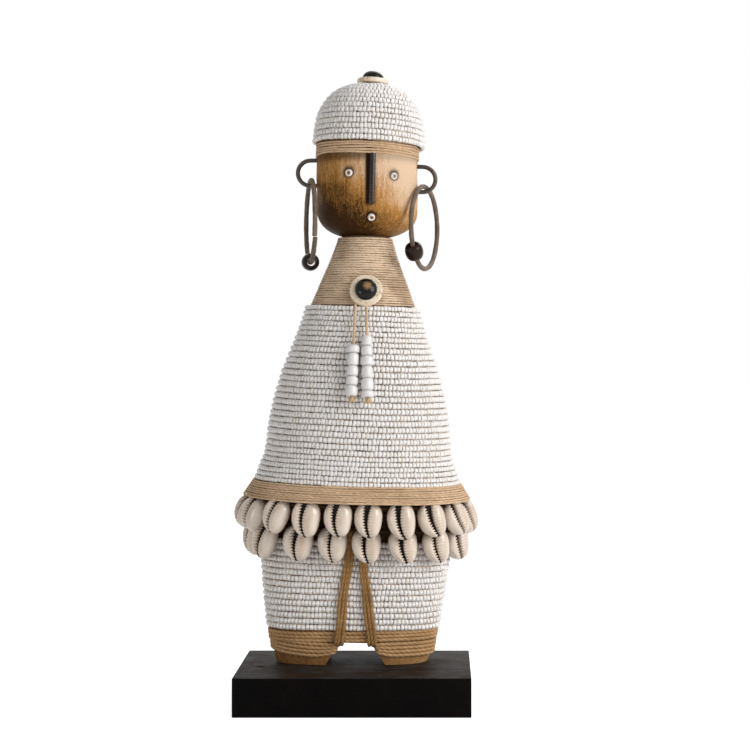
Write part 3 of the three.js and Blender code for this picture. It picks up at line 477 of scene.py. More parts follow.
class Palette(Board):
    """The nodes of one material."""

    def __init__(self, name: str) -> None:
        """Starts a material with its plain shader."""
        self.material = bpy.data.materials.new(name)
        self.material.use_nodes = True
        super().__init__(self.material.node_tree)
        self.shader = self.nodes["Principled BSDF"]

    def plain(self, **constants: object) -> None:
        """Sets constants of the shader; an underscore stands for a space."""
        for key, value in constants.items():
            self.shader.inputs[key.replace("_", " ")].default_value = value

    def object_space(self, scale: tuple[float, float, float] = (1, 1, 1)) -> Socket:
        """Object coordinates, stretched."""
        source = self.node("ShaderNodeTexCoord")
        mapping = self.node("ShaderNodeMapping", Scale=scale)
        self.links.new(source.outputs["Object"], mapping.inputs["Vector"])
        return mapping.outputs["Vector"]

    def attribute(self, name: str, output: str = "Fac") -> Socket:
        """A painted value of the mesh."""
        return self.node("ShaderNodeAttribute", attribute_name=name).outputs[output]

    def noise(self, vector: Socket, scale: float, detail: float = 3, rough: float = 0.5) -> Socket:
        """Noise from 0 to 1 over a vector."""
        made = self.node("ShaderNodeTexNoise", Scale=scale, Detail=detail, Roughness=rough)
        self.links.new(vector, made.inputs["Vector"])
        return made.outputs["Fac"]

    def spread(self, value: Socket, low: float, high: float, to_low: float = 0, to_high: float = 1) -> Socket:
        """Maps a range of a value on another, clamped."""
        made = self.node("ShaderNodeMapRange", clamp=True)
        made.inputs["From Min"].default_value = low
        made.inputs["From Max"].default_value = high
        made.inputs["To Min"].default_value = to_low
        made.inputs["To Max"].default_value = to_high
        self.links.new(value, made.inputs["Value"])
        return made.outputs["Result"]

    def ramp(self, value: Socket, *stops: tuple[float, Colour]) -> Socket:
        """Colours at places from 0 to 1."""
        made = self.node("ShaderNodeValToRGB")
        band = made.color_ramp
        while len(band.elements) < len(stops):
            band.elements.new(0.5)
        for element, (place, colour) in zip(band.elements, stops):
            element.position = place
            element.color = (*colour, 1)
        self.links.new(value, made.inputs["Fac"])
        return made.outputs["Color"]

    def mix(self, share, first, second) -> Socket:
        """Mixes two colours; each argument is a socket or a constant."""
        made = self.node("ShaderNodeMix", data_type="RGBA")
        for slot, value in ((0, share), (6, first), (7, second)):
            self.feed(made.inputs[slot], value)
        return made.outputs[2]

    def bump(self, height: Socket, strength: float, distance: float) -> None:
        """Raises the surface by a height, over any bump that is there."""
        made = self.node("ShaderNodeBump", Strength=strength, Distance=distance)
        self.links.new(height, made.inputs["Height"])
        normal = self.shader.inputs["Normal"]
        if normal.is_linked:
            self.links.new(normal.links[0].from_socket, made.inputs["Normal"])
        self.links.new(made.outputs["Normal"], normal)

    def colour(self, socket: Socket) -> None:
        """Sends a colour to the surface."""
        self.links.new(socket, self.shader.inputs["Base Color"])

    def rough(self, socket: Socket) -> None:
        """Sends a roughness to the surface."""
        self.links.new(socket, self.shader.inputs["Roughness"])

    def coat(self, weight: float, roughness: float) -> None:
        """Puts a clear coat on."""
        self.plain(Coat_Weight=weight, Coat_Roughness=roughness)


@dataclass(frozen=True)
class GlassBead:
    """Opaque warm white glass, a little toned where a bead meets the next."""

    name: str = "white_seed_beads"
    white: Colour = (0.86, 0.835, 0.82)
    cream: Colour = (0.83, 0.785, 0.73)
    thread_stain: Colour = (0.58, 0.44, 0.31)

    def material(self) -> bpy.types.Material:
        """Builds the finish."""
        p = Palette(self.name)
        each = p.spread(p.attribute("tint"), 0.55, 1.0)
        body = p.mix(each, self.white, self.cream)
        stained = p.mix(p.spread(p.attribute("end"), 0.55, 1.0, 0.0, 0.6), body, self.thread_stain)
        p.colour(stained)
        p.rough(p.spread(p.noise(p.object_space(), 900), 0.3, 0.7, 0.26, 0.42))
        p.coat(0.25, 0.15)
        return p.material


@dataclass(frozen=True)
class Twine:
    """Dry plied twine: fibres, painted shade in the grooves between the plies, and stained patches."""

    name: str
    light: Colour
    deep: Colour
    stain: Colour
    stain_share: float = 0.5
    patch: float = 55
    ply_shade: float = 0.22
    fibres: float = 0.5

    def material(self) -> bpy.types.Material:
        """Builds the finish."""
        p = Palette(self.name)
        space = p.object_space()
        patches = p.spread(p.noise(space, self.patch, 4, 0.6), 0.40, 0.66, 0, self.stain_share)
        streaks = p.noise(p.object_space((420, 420, 2100)), 1.0, 5, 0.75)
        body = p.mix(p.spread(streaks, 0.2, 0.66), self.deep, self.light)
        body = p.mix(patches, body, self.stain)
        # Painted shade: the grooves between the plies are painted darker.
        ply_groove_shade = p.spread(p.attribute("groove"), 0.45, 1.0, 0, self.ply_shade)
        body = p.mix(ply_groove_shade, body, tuple(c * 0.45 for c in self.deep))
        p.colour(body)
        p.plain(Roughness=0.85, Specular_IOR_Level=0.12, Sheen_Weight=0.06)
        p.bump(streaks, self.fibres, 0.0004)
        return p.material


@dataclass(frozen=True)
class RubbedWood:
    """Hand-carved wood: upright grain, tool marks, dark patina, painted shade, and pale where it is worn or
    painted as lit.
    """

    name: str
    worn: Colour
    middle: Colour
    dark: Colour
    speckle: float
    gloss: float

    def material(self) -> bpy.types.Material:
        """Builds the finish."""
        p = Palette(self.name)
        grain = p.noise(p.object_space((680, 680, 95)), 1.0, 6, 0.75)
        fine = p.noise(p.object_space((2100, 2100, 900)), 1.0, 4, 0.75)
        patches = p.noise(p.object_space((1, 1, 0.8)), 75, 6, 0.66)
        wear = p.sums("ADD", p.attribute("wear"), p.spread(patches, 0.25, 0.75, -0.17, 0.17))
        wear = p.sums("ADD", wear, p.spread(grain, 0.32, 0.68, -0.22, 0.18))
        wear = p.sums("ADD", wear, p.spread(fine, 0.25, 0.75, -self.speckle, self.speckle))
        # Painted light: the painted value is raised on the lit side and lowered in shade, so the pale end of
        # this ramp is partly wear and partly painted light.
        body = p.ramp(wear, (0.0, self.dark), (0.5, self.middle), (1.0, self.worn))
        body = p.mix(p.attribute("shade"), body, tuple(c * 0.2 for c in self.dark))
        p.colour(body)
        p.rough(p.spread(patches, 0.3, 0.7, self.gloss, self.gloss + 0.2))
        p.plain(Specular_IOR_Level=0.05)
        p.bump(grain, 0.4, 0.0005)
        p.bump(fine, 0.35, 0.0003)
        return p.material


@dataclass(frozen=True)
class CowrieShell:
    """Porcelain gloss: cream with a flushed lip, amber rims and painted shade in the slit."""

    name: str = "cowrie_shell"
    cream: Colour = (0.79, 0.69, 0.595)
    flush: Colour = (0.56, 0.39, 0.26)
    aged: Colour = (0.66, 0.55, 0.44)
    amber: Colour = (0.40, 0.17, 0.05)
    # Painted shade: the inside of the slit is painted near black.
    slit: Colour = (0.012, 0.007, 0.004)

    def material(self) -> bpy.types.Material:
        """Builds the finish."""
        p = Palette(self.name)
        cloud = p.noise(p.object_space(), 130, 3, 0.5)
        flushed = p.sums("MULTIPLY", p.attribute("flush"), p.spread(cloud, 0.3, 0.7, 0.35, 1.0))
        body = p.mix(flushed, self.cream, self.flush)
        body = p.mix(p.spread(p.attribute("tint"), 0, 1, 0, 0.35), body, self.aged)
        body = p.mix(p.attribute("rim"), body, self.amber)
        body = p.mix(p.attribute("slit"), body, self.slit)
        p.colour(body)
        p.rough(p.spread(p.attribute("slit"), 0, 1, 0.24, 0.8))
        p.coat(0.45, 0.06)
        return p.material


@dataclass(frozen=True)
class PlainGloss:
    """A dark or pale finish with small cloudy changes, as on metal, leather, horn or polished wood."""

    name: str
    first: Colour
    second: Colour
    roughness: float
    coat: float = 0.0
    metallic: float = 0.0
    cloud: float = 120.0
    stretch: tuple[float, float, float] = (1, 1, 1)
    bump: float = 0.1
    shine: float = 0.5

    def material(self) -> bpy.types.Material:
        """Builds the finish."""
        p = Palette(self.name)
        cloud = p.noise(p.object_space(self.stretch), self.cloud, 5, 0.6)
        p.colour(p.mix(p.spread(cloud, 0.35, 0.68), self.first, self.second))
        p.rough(p.spread(cloud, 0.3, 0.7, self.roughness * 0.8, self.roughness * 1.25))
        p.plain(Metallic=self.metallic, Specular_IOR_Level=self.shine)
        p.coat(self.coat, 0.05)
        p.bump(cloud, self.bump, 0.0003)
        return p.material


@dataclass(frozen=True)
class WornStud:
    """A black gloss dome with a painted bronze reflection on its crest."""

    name: str = "worn_stud"
    black: Colour = (0.002, 0.0015, 0.001)
    bronze: Colour = (0.50, 0.29, 0.13)

    def material(self) -> bpy.types.Material:
        """Builds the finish."""
        p = Palette(self.name)
        grit = p.noise(p.object_space(), 2200, 3, 0.7)
        # Painted reflection: the bronze spot marked on the dome, broken up by grit, stands for a warm
        # reflection.
        sheen_and_rubbing = p.sums("MULTIPLY", p.attribute("worn"), p.spread(grit, 0.3, 0.6))
        p.colour(p.mix(sheen_and_rubbing, self.black, self.bronze))
        p.rough(p.spread(p.attribute("worn"), 0, 1, 0.10, 0.3))
        p.plain(Specular_IOR_Level=0.2)
        return p.material


@dataclass(frozen=True)
class SpeckledBone:
    """Cream disc with rusty specks that gather at its edge."""

    name: str = "speckled_bone"
    cream: Colour = (0.86, 0.75, 0.60)
    tan: Colour = (0.82, 0.68, 0.50)
    rust: Colour = (0.42, 0.19, 0.06)

    def material(self) -> bpy.types.Material:
        """Builds the finish."""
        p = Palette(self.name)
        specks = p.noise(p.object_space(), 900, 2, 0.7)
        gather = p.noise(p.object_space(), 160, 2, 0.5)
        amount = p.sums("MULTIPLY", p.spread(specks, 0.52, 0.64), p.spread(gather, 0.42, 0.62))
        body = p.mix(p.spread(gather, 0.3, 0.7), self.cream, self.tan)
        p.colour(p.mix(amount, body, self.rust))
        p.plain(Roughness=0.45)
        p.bump(specks, 0.15, 0.0002)
        return p.material


@dataclass(frozen=True)
class BlackPlinth:
    """Black paint on wood: a painted sheen on top, with faint grain, brown rubbing and pale dust."""

    name: str = "plinth_black"
    black: Colour = (0.0016, 0.0013, 0.0012)
    faded: Colour = (0.0042, 0.0028, 0.0022)
    pores: Colour = (0.003, 0.0025, 0.0025)
    sheen: Colour = (0.060, 0.052, 0.048)
    brown: Colour = (0.022, 0.011, 0.005)
    dust: Colour = (0.16, 0.14, 0.125)

    def material(self) -> bpy.types.Material:
        """Builds the finish."""
        p = Palette(self.name)
        grain = p.noise(p.object_space((30, 420, 420)), 1.0, 6, 0.7)
        wear = p.noise(p.object_space(), 48, 5, 0.65)
        dust = p.noise(p.object_space(), 2600, 1, 0.5)
        body = p.mix(p.spread(wear, 0.45, 0.75), self.black, self.faded)
        # Painted sheen: the top face is painted paler in streaks along the grain, mixed with brown rubbing
        # where the noise is high.
        sheen = p.mix(p.spread(grain, 0.34, 0.64), self.pores, self.sheen)
        sheen_and_rubbing = p.mix(p.spread(wear, 0.46, 0.60, 0, 0.8), sheen, self.brown)
        body = p.mix(p.attribute("upper"), body, sheen_and_rubbing)
        dusty = p.spread(p.attribute("upper"), 0, 1, 0.06, 0.6)
        grains = p.sums("MULTIPLY", p.spread(dust, 0.64, 0.72), dusty)
        body = p.mix(grains, body, self.dust)
        p.colour(body)
        p.rough(p.spread(wear, 0.3, 0.7, 0.40, 0.58))
        p.plain(Specular_IOR_Level=0.03)
        p.bump(grain, 0.3, 0.0006)
        p.bump(wear, 0.15, 0.0010)
        return p.material


class Finish(Enum):
    """Every finish of the doll."""

    BEADS = GlassBead()
    SHELL = CowrieShell()
    WORN_STUD = WornStud()
    BONE = SpeckledBone()
    PLINTH = BlackPlinth()
    THREAD = Twine(
        "bead_thread", (0.64, 0.50, 0.36), (0.46, 0.32, 0.20), (0.07, 0.032, 0.012),
        stain_share=0.95, patch=240,
    )
    JUTE = Twine("jute_twine", (0.91, 0.68, 0.46), (0.40, 0.22, 0.10), (0.30, 0.15, 0.05), stain_share=0.3)
    NECK_JUTE = Twine(
        "neck_twine", (1.0, 0.81, 0.61), (0.54, 0.33, 0.17), (0.26, 0.13, 0.05), stain_share=0.55
    )
    ANKLE_JUTE = Twine(
        "ankle_twine", (0.70, 0.44, 0.22), (0.38, 0.20, 0.08), (0.20, 0.10, 0.03),
        stain_share=0.4, ply_shade=0.5,
    )
    TIE_JUTE = Twine("tie_twine", (0.50, 0.28, 0.11), (0.28, 0.14, 0.045), (0.15, 0.07, 0.02), ply_shade=0.6)
    BACKING = Twine("backing_twine", (0.10, 0.05, 0.02), (0.05, 0.023, 0.009), (0.02, 0.01, 0.004))
    FACE_WOOD = RubbedWood(
        "face_wood", (0.74, 0.53, 0.36), (0.47, 0.22, 0.055), (0.040, 0.016, 0.004), speckle=0.32, gloss=0.42
    )
    FOOT_WOOD = RubbedWood(
        "foot_wood", (0.66, 0.41, 0.19), (0.42, 0.21, 0.075), (0.13, 0.06, 0.018), speckle=0.25, gloss=0.5
    )
    CORE_WOOD = RubbedWood(
        "core_wood", (0.34, 0.25, 0.16), (0.17, 0.115, 0.065), (0.05, 0.03, 0.016), speckle=0.1, gloss=0.6
    )
    EAR_WIRE = PlainGloss("ear_wire", (0.040, 0.030, 0.024), (0.095, 0.070, 0.052), 0.42, metallic=0.5)
    HOOP = PlainGloss("hoop_leather", (0.11, 0.080, 0.056), (0.22, 0.165, 0.12), 0.55, bump=0.35, shine=0.2)
    NOSE = PlainGloss("nose_rod_dark", (0.006, 0.004, 0.003), (0.020, 0.012, 0.008), 0.2, shine=0.3)
    DARK_BEAD = PlainGloss(
        "polished_dark_wood", (0.004, 0.002, 0.0015), (0.034, 0.014, 0.006), 0.13, cloud=190,
        stretch=(1, 1, 0.3), bump=0.05, shine=0.14,
    )
    STUD = PlainGloss("black_stud", (0.002, 0.0015, 0.001), (0.005, 0.003, 0.002), 0.12, shine=0.18, bump=0)
    LACE = PlainGloss("string_lace", (0.50, 0.34, 0.18), (0.60, 0.44, 0.26), 0.5, cloud=300)
    DRUM_BEAD = PlainGloss(
        "white_drum_beads", (0.80, 0.785, 0.77), (0.74, 0.72, 0.70), 0.33, coat=0.2, cloud=220, bump=0.15
    )
    EYE_RING = PlainGloss("eye_ring_white", (0.80, 0.77, 0.73), (0.72, 0.68, 0.62), 0.3, coat=0.3)
    STEEL = PlainGloss("screw_zinc", (0.48, 0.48, 0.47), (0.62, 0.61, 0.58), 0.32, metallic=1.0)


class Workshop:
    """Puts finished meshes into the scene as pieces that ride on their bodies."""

    def __init__(self) -> None:
        """Builds every finish once."""
        self.materials = {finish: finish.value.material() for finish in Finish}

    def piece(
        self,
        name: str,
        mesh: bpy.types.Mesh,
        place: Matrix,
        finish: Finish,
        slot: str,
        body: Body = Body.DOLL,
        replaces: Sequence[str] = (),
        crease: Optional[float] = 40.0,
    ) -> bpy.types.Object:
        """Places a mesh, dresses it and lets it ride.

        Args:
            name: the piece's name.
            mesh: its mesh, in millimetres in a frame of the doll.
            place: that frame.
            finish: its finish.
            slot: the record's material slot; not used.
            body: the body that it rides on.
            replaces: CAD nodes that it stands for.
            crease: the angle above which an edge is sharp, or None for all smooth.

        Returns:
            The object.
        """
        mesh.transform(TO_METRES @ place)
        mesh.materials.clear()
        mesh.materials.append(self.materials[finish])
        mesh.shade_smooth()
        if crease is not None:
            mesh.set_sharp_from_angle(angle=math.radians(crease))
        made = bpy.data.objects.new(name, mesh)
        bpy.context.scene.collection.objects.link(made)
        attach(made, body.value)
        if replaces:
            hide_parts(*replaces)
        log.info("%s: %d faces on %s", name, len(mesh.polygons), body.value)
        return made


def paint(mesh: bpy.types.Mesh, name: str, values: Points | float) -> None:
    """Writes one number for each vertex, or the same one for all, into a named attribute."""
    layer = mesh.attributes.get(name) or mesh.attributes.new(name, "FLOAT", "POINT")
    layer.data.foreach_set("value", np.full(len(mesh.vertices), values, dtype=np.float32))


def coordinates(mesh: bpy.types.Mesh) -> Points:
    """The vertices of a mesh as an array."""
    found = np.zeros(len(mesh.vertices) * 3, dtype=np.float32)
    mesh.vertices.foreach_get("co", found)
    return found.reshape(-1, 3).astype(float)


def cut(mesh: bpy.types.Mesh, cutters: Sequence[bpy.types.Mesh]) -> bpy.types.Mesh:
    """The mesh with the cutters taken out of it."""
    body = bpy.data.objects.new("being_cut", mesh)
    bpy.context.scene.collection.objects.link(body)
    tools = []
    for cutter in cutters:
        tool = bpy.data.objects.new("cutter", cutter)
        bpy.context.scene.collection.objects.link(tool)
        modifier = body.modifiers.new("cut", "BOOLEAN")
        modifier.object = tool
        modifier.operation = "DIFFERENCE"
        modifier.solver = "EXACT"
        tools.append(tool)
    graph = bpy.context.evaluated_depsgraph_get()
    done = bpy.data.meshes.new_from_object(body.evaluated_get(graph))
    for made in (body, *tools):
        bpy.data.objects.remove(made)
    return done


def cylinder(radius: float, low: float, high: float) -> bpy.types.Mesh:
    """A plain closed cylinder about Z, for cutting."""
    return lathe("cylinder", [(0, low), (radius, low), (radius, high), (0, high)], 32)


# The wood


@dataclass
class CarvedWood:
    """The carved figure: leg block with its arch, bell and neck under the beads, and the head."""

    shop: Workshop
    legs: Flank = Flank(
        ((0.3, 42.6, 16.0), (22.75, 45.6, 18.7), (59.5, 49.8, 23.0), (89.5, 51.0, 26.0)), power=2.6
    )
    bell: Flank = Flank(
        (
            (99.6, 55.1, 41.6), (105.8, 53.0, 40.6), (111.3, 50.9, 39.8), (116.9, 49.1, 39.4),
            (128.0, 47.9, 39.2), (139.1, 46.4, 38.5), (150.3, 43.8, 37.2), (161.4, 40.5, 35.2),
            (172.5, 36.6, 32.4), (183.6, 33.0, 29.9), (196.0, 29.4, 27.0),
        ),
        power=2.15,
    )
    neck: Flank = Flank(
        (
            (196.0, 27.4, 25.2), (209.2, 22.2, 20.8), (221.7, 17.2, 16.6), (228.0, 15.0, 14.7),
            (236.0, 12.6, 12.6),
        ),
        power=2.0,
    )
    legs_height: float = 89.4
    arch_height: float = 12.8
    arch_waist: float = 6.4
    arch_sole: float = 16.5
    arch_waist_half: float = 13.0
    arch_top_half: float = 10.0
    arch_offset: float = 2.6
    head_half_width: float = 28.0
    head_half_depth: float = 27.0
    ring_seat_radius: float = 2.45
    ear_roots: tuple[tuple[float, float, float], ...] = (
        (-28, 0, 44.1), (-28, 0, 30.1), (28, 0, 40.6), (28, 0, 26.6),
    )
    jaw_rounding: float = 19.0

    def build(self) -> None:
        """Makes the wooden pieces."""
        self._legs()
        self._torso()
        self._head()

    def arch_half(self, level: float) -> float:
        """Half width of the arch between the feet at a level."""
        if level <= self.arch_waist:
            share = max(level, 0) / self.arch_waist
            return self.arch_sole + (self.arch_waist_half - self.arch_sole) * share
        rise = min((level - self.arch_waist) / (self.arch_height - self.arch_waist), 1)
        return self.arch_top_half + (self.arch_waist_half - self.arch_top_half) * math.sqrt(1 - rise**2)

    def head_ring(self, height: Points) -> tuple[Points, Points]:
        """Half width and half depth of the head at heights above the chin."""
        below = np.clip((self.jaw_rounding - height) / self.jaw_rounding, 0, 1)
        share = np.sqrt(np.maximum(1 - below**3, 0))
        return self.head_half_width * share, self.head_half_depth * share

    def _legs(self) -> None:
        """The leg block, with the arch cut out between the feet."""
        rings, sole_edge = 30, 1.5

        def place(u: Points, v: Points) -> Points:
            rows = np.round(v * rings).astype(int)
            level = np.clip((rows - 1) / (rings - 2), 0, 1) * self.legs_height + 0.1
            width, depth = self.legs.at(level)
            edge = np.where(level < sole_edge, (sole_edge - level) * 0.9, 0)
            size = np.where((rows == 0) | (rows == rings), 0.0, 1.0)
            width, depth = (width - edge) * size + 1e-6, (depth - edge) * size + 1e-6
            return settled(squircle(width, depth, self.legs.power, u * FULL_TURN, level))

        block = laid_grid("leg_block", 96, rings, place)
        bm = bmesh.new()
        vault = self.arch_height - self.arch_waist
        levels = [-6.0, 0.0] + [self.arch_waist * t for t in (0.33, 0.66, 1.0)]
        levels += [self.arch_waist + t * vault for t in (0.3, 0.55, 0.75, 0.9, 0.97, 1.0)]
        right = [(self.arch_half(level) + self.arch_offset, level) for level in levels]
        left = [(-self.arch_half(level) + self.arch_offset, level) for level in reversed(levels)]
        reach = 60
        outline = [bm.verts.new((x, -reach, z)) for x, z in right + left]
        face = bm.faces.new(outline)
        pushed = bmesh.ops.extrude_face_region(bm, geom=[face])
        moved = [item for item in pushed["geom"] if isinstance(item, bmesh.types.BMVert)]
        bmesh.ops.translate(bm, verts=moved, vec=(0, 2 * reach, 0))
        bmesh.ops.recalc_face_normals(bm, faces=bm.faces)
        carved = cut(block, [as_mesh(bm, "arch")])
        points = coordinates(carved)
        paint(carved, "shade", np.clip((points[:, 2] - 62) / 8, 0, 1) * 0.9)
        # Painted light: the wood is painted paler towards the lit +X side.
        paint(carved, "wear", 0.5 + 0.006 * points[:, 0])
        self.shop.piece("leg_block", carved, DOLL_PLACE, Finish.FOOT_WOOD, "carved_wood", crease=50)

    def _torso(self) -> None:
        """The bell and neck under the beads and twine, from the lip under the hem to inside the head."""
        lip = np.array([(90.5, 52.0, 34.0), (92.1, 61.8, 46.8), (93.0, 61.4, 46.4), (99.4, 56.0, 42.4)])
        bell, neck = np.linspace(99.7, 195.6, 60), np.linspace(196.2, 239, 30)
        levels = np.concatenate([lip[:, 0], bell, neck])
        sizes = zip(lip[:, 1:].T, self.bell.at(bell), self.neck.at(neck))
        widths, depths = (np.concatenate(parts) for parts in sizes)
        rings = len(levels)

        def place(u: Points, v: Points) -> Points:
            rows = np.round(v * (rings + 1)).astype(int)
            index = np.clip(rows - 1, 0, rings - 1)
            size = np.where((rows == 0) | (rows == rings + 1), 0.0, 1.0)
            width, depth = widths[index] * size + 1e-6, depths[index] * size + 1e-6
            return squircle(width, depth, self.bell.power, u * FULL_TURN, levels[index])

        mesh = laid_grid("bell_core", 96, rings + 1, place)
        paint(mesh, "shade", 0.0)
        paint(mesh, "wear", 0.5)
        self.shop.piece("bell_core", mesh, DOLL_PLACE, Finish.CORE_WOOD, "carved_wood")

    def _head(self) -> None:
        """The head, drilled for the eyes and the mouth, with painted shade beside the nose rod."""
        rings, jaw, cheeks = 74, 0.4, 60
        dome_from, dome_over = 52, 29

        def place(u: Points, v: Points) -> Points:
            rows = np.round(v * rings).astype(int)
            share = rows / rings
            height = np.where(share < jaw, self.jaw_rounding * (share / jaw) ** 1.8, 0)
            height = np.where(share >= jaw, self.jaw_rounding + (share - jaw) / (1 - jaw) * cheeks, height)
            width, depth = self.head_ring(height)
            dome = np.clip((height - dome_from) / dome_over, 0, 0.999)
            shrink = np.sqrt(1 - dome**2)
            angle = u * FULL_TURN
            points = squircle(width * shrink + 1e-6, depth * shrink + 1e-6, HEAD_POWER, angle, height)
            chisel = 0.22 * np.sin(5 * angle + 0.13 * height) * np.sin(0.21 * height + 2 * angle)
            marks = 1 + chisel / self.head_half_width
            return points * np.stack([marks, marks, np.ones_like(chisel)], axis=1)

        head = laid_grid("head_wood", 216, rings, place)
        cutters = []
        for azimuth, height in FACE_HOLES:
            hole = cylinder(self.ring_seat_radius, -3.0, 3.0)
            hole.transform(self.on_face(azimuth, height))
            cutters.append(hole)
        carved = cut(head, cutters)
        points = coordinates(carved)
        height = points[:, 2]
        angle = np.arctan2(points[:, 1], points[:, 0])
        front = math.radians(FACE_TURN - 90)
        from_nose = (angle - front) * self.head_half_width
        under_chin = np.clip((4.5 - height) / 9, 0, 0.8)
        under_band = np.clip((height - 40.5) / 3.6, 0, 0.7) * np.where(from_nose < 0, 1.0, 0.45)
        # Painted shadow of the nose rod: a dark strip beside it, darker and wider on the left, above its
        # lower end; no groove is cut.
        left_of_nose = np.clip((4.1 + from_nose) / 0.9, 0, 1)
        right_of_nose = 0.6 * np.clip((3.0 - from_nose) / 1.1, 0, 1)
        groove = np.where(from_nose < 0, left_of_nose, right_of_nose) * np.clip((height - 16.0) / 2, 0, 1)
        shade = np.maximum(np.maximum(under_chin, under_band), groove)
        for root in self.ear_roots:
            away = np.linalg.norm(points - np.array(root), axis=1)
            shade = np.maximum(shade, np.clip((6.0 - away) / 4, 0, 1) * 0.85)
        for azimuth, level in FACE_HOLES:
            centre = np.array(self.on_face(azimuth, level + 0.6).translation)
            away = np.linalg.norm(points - centre, axis=1)
            shade = np.maximum(shade, np.clip((3.9 - away) / 1.3, 0, 1) * 0.8)
        paint(carved, "shade", shade)
        # Painted light: the value rises towards the lit right side and falls towards the chin as painted
        # shade, and is even at the back.
        turn = np.degrees(np.mod(angle - front + math.pi, FULL_TURN) - math.pi)
        fade = np.clip((np.abs(turn) - 60) / 60, 0, 1)
        wear = 0.58 + 0.0085 * np.clip(turn, -50, 46) + 0.027 * (np.clip(height, 0, 36) - 25)
        paint(carved, "wear", wear * (1 - fade) + 0.42 * fade)
        self.shop.piece(
            "head_wood", carved, HEAD_PLACE, Finish.FACE_WOOD, "carved_wood",
            replaces=("carved_figure",), crease=35,
        )

    def on_face(self, azimuth: float, height: float, depth: float = 0.0) -> Matrix:
        """A frame on the head's surface whose +Z points out; azimuth 0 is straight ahead."""
        angle = math.radians(azimuth) - math.pi / 2
        width, deep = self.head_ring(np.array([height, height + 1]))
        here, higher = (
            Vector(point)
            for point in squircle(width, deep, HEAD_POWER, np.full(2, angle), np.array([height, height + 1]))
        )
        slope = math.atan2(higher.xy.length - here.xy.length, 1)
        out = Vector((here.x, here.y, 0)).normalized() * math.cos(slope) - Vector((0, 0, math.sin(slope)))
        turn = Vector((0, 0, 1)).rotation_difference(out).to_matrix().to_4x4()
        return Matrix.Translation(here + out * depth) @ turn


@dataclass
class Face:
    """The ring beads of the eyes and mouth, the nose rod, and the ear wires."""

    shop: Workshop
    wood: CarvedWood
    ring_radius: float = 2.05
    ring_hole: float = 0.95
    ring_proud: float = 1.0
    nose_radius: float = 1.75
    nose_length: float = 27.0
    nose_proud: float = 0.75
    nose_flat: float = 0.72
    ear_radius: float = 7.0
    ear_wire: float = 1.2
    ear_set: float = 5.5

    def build(self) -> None:
        """Makes the face's pieces."""
        self._rings()
        self._nose()
        self._ear(Side.LEFT, reach=3.6, height=37.1)
        self._ear(Side.RIGHT, reach=2.9, height=33.6)

    def _rings(self) -> None:
        """Three white ring beads let into the face."""
        for name, (azimuth, height) in zip(("eye_left", "eye_right", "mouth_ring"), FACE_HOLES):
            r, hole = self.ring_radius, self.ring_hole
            profile = [(hole, -1.6), (hole, -0.35), (hole + 0.2, -0.08), (hole + 0.5, 0)]
            profile += [(r - 0.6, -0.12), (r - 0.2, -0.4), (r, -0.9), (r, -2.2), (hole, -2.2), (hole, -1.6)]
            ring = lathe(f"{name}_ring", profile, 32)
            place = HEAD_PLACE @ self.wood.on_face(azimuth, height, self.ring_proud)
            self.shop.piece(
                f"{name}_bead", ring, place, Finish.EYE_RING, "white_bead", replaces=(name,)
            )
            plug = lathe(f"{name}_plug", [(0, -2.2), (hole + 0.1, -2.2), (hole + 0.1, -1.1), (0, -1.0)], 16)
            paint(plug, "shade", 0.1)
            paint(plug, "wear", 0.45)
            self.shop.piece(f"{name}_plug", plug, place, Finish.FOOT_WOOD, "carved_wood")

    def _nose(self) -> None:
        """The dark rod half sunk in the face, with its round lower end."""
        width, depth = self.wood.head_ring(np.array([BROW]))
        sunk = self.nose_proud - self.nose_radius * self.nose_flat
        angle = np.array([math.radians(FACE_TURN - 90)])
        at = Vector(squircle(width + sunk, depth + sunk, HEAD_POWER, angle, BROW)[0])
        r, low = self.nose_radius, -self.nose_length
        dome = [(r * math.sin(t), low + r - r * math.cos(t)) for t in np.linspace(0, math.pi / 2, 7)]
        rod = lathe("nose_rod_shape", [*dome, (r, -8), (r * 0.97, 1.2), (0, 1.2)], 36)
        turned = Matrix.Rotation(math.radians(FACE_TURN + 8), 4, "Z")
        rod.transform(turned @ Matrix.Diagonal((1, self.nose_flat, 1, 1)))
        place = HEAD_PLACE @ Matrix.Translation(at) @ Matrix.Translation((0, 0, low))
        place = place @ Matrix.Rotation(LEAN * 0.8, 4, "Y") @ Matrix.Translation((0, 0, -low))
        self.shop.piece(
            "nose_rod_gloss", rod, place, Finish.NOSE, "gloss_black", replaces=("nose_rod",)
        )

    def _ear(self, side: Side, reach: float, height: float) -> None:
        """One bent ear wire, both legs let into the head."""
        sign = side.value
        turn = np.linspace(math.pi / 2, -math.pi / 2, 33)
        bend = np.stack(
            [sign * self.ear_radius * np.cos(turn), np.zeros(33), self.ear_radius * np.sin(turn)], axis=1
        )
        leg = -sign * (reach + self.ear_set)
        start = np.array([[leg, 0, self.ear_radius], [leg * 0.5, 0, self.ear_radius + 0.12]])
        end = np.array([[leg * 0.5, 0, -self.ear_radius + 0.08], [leg, 0, -self.ear_radius]])
        path = np.concatenate([start, bend, end])
        outward = np.tile([0.0, 1.0, 0.0], (len(path), 1))
        wire = Rope(self.ear_wire, 14).lay(f"ear_wire_{side.label}", path, outward)
        place = HEAD_PLACE @ Matrix.Translation((sign * (self.wood.head_half_width + reach), 0, height))
        self.shop.piece(
            f"ear_wire_{side.label}", wire, place, Finish.EAR_WIRE, "ear_wire",
            replaces=(f"ear_{side.label}",),
        )


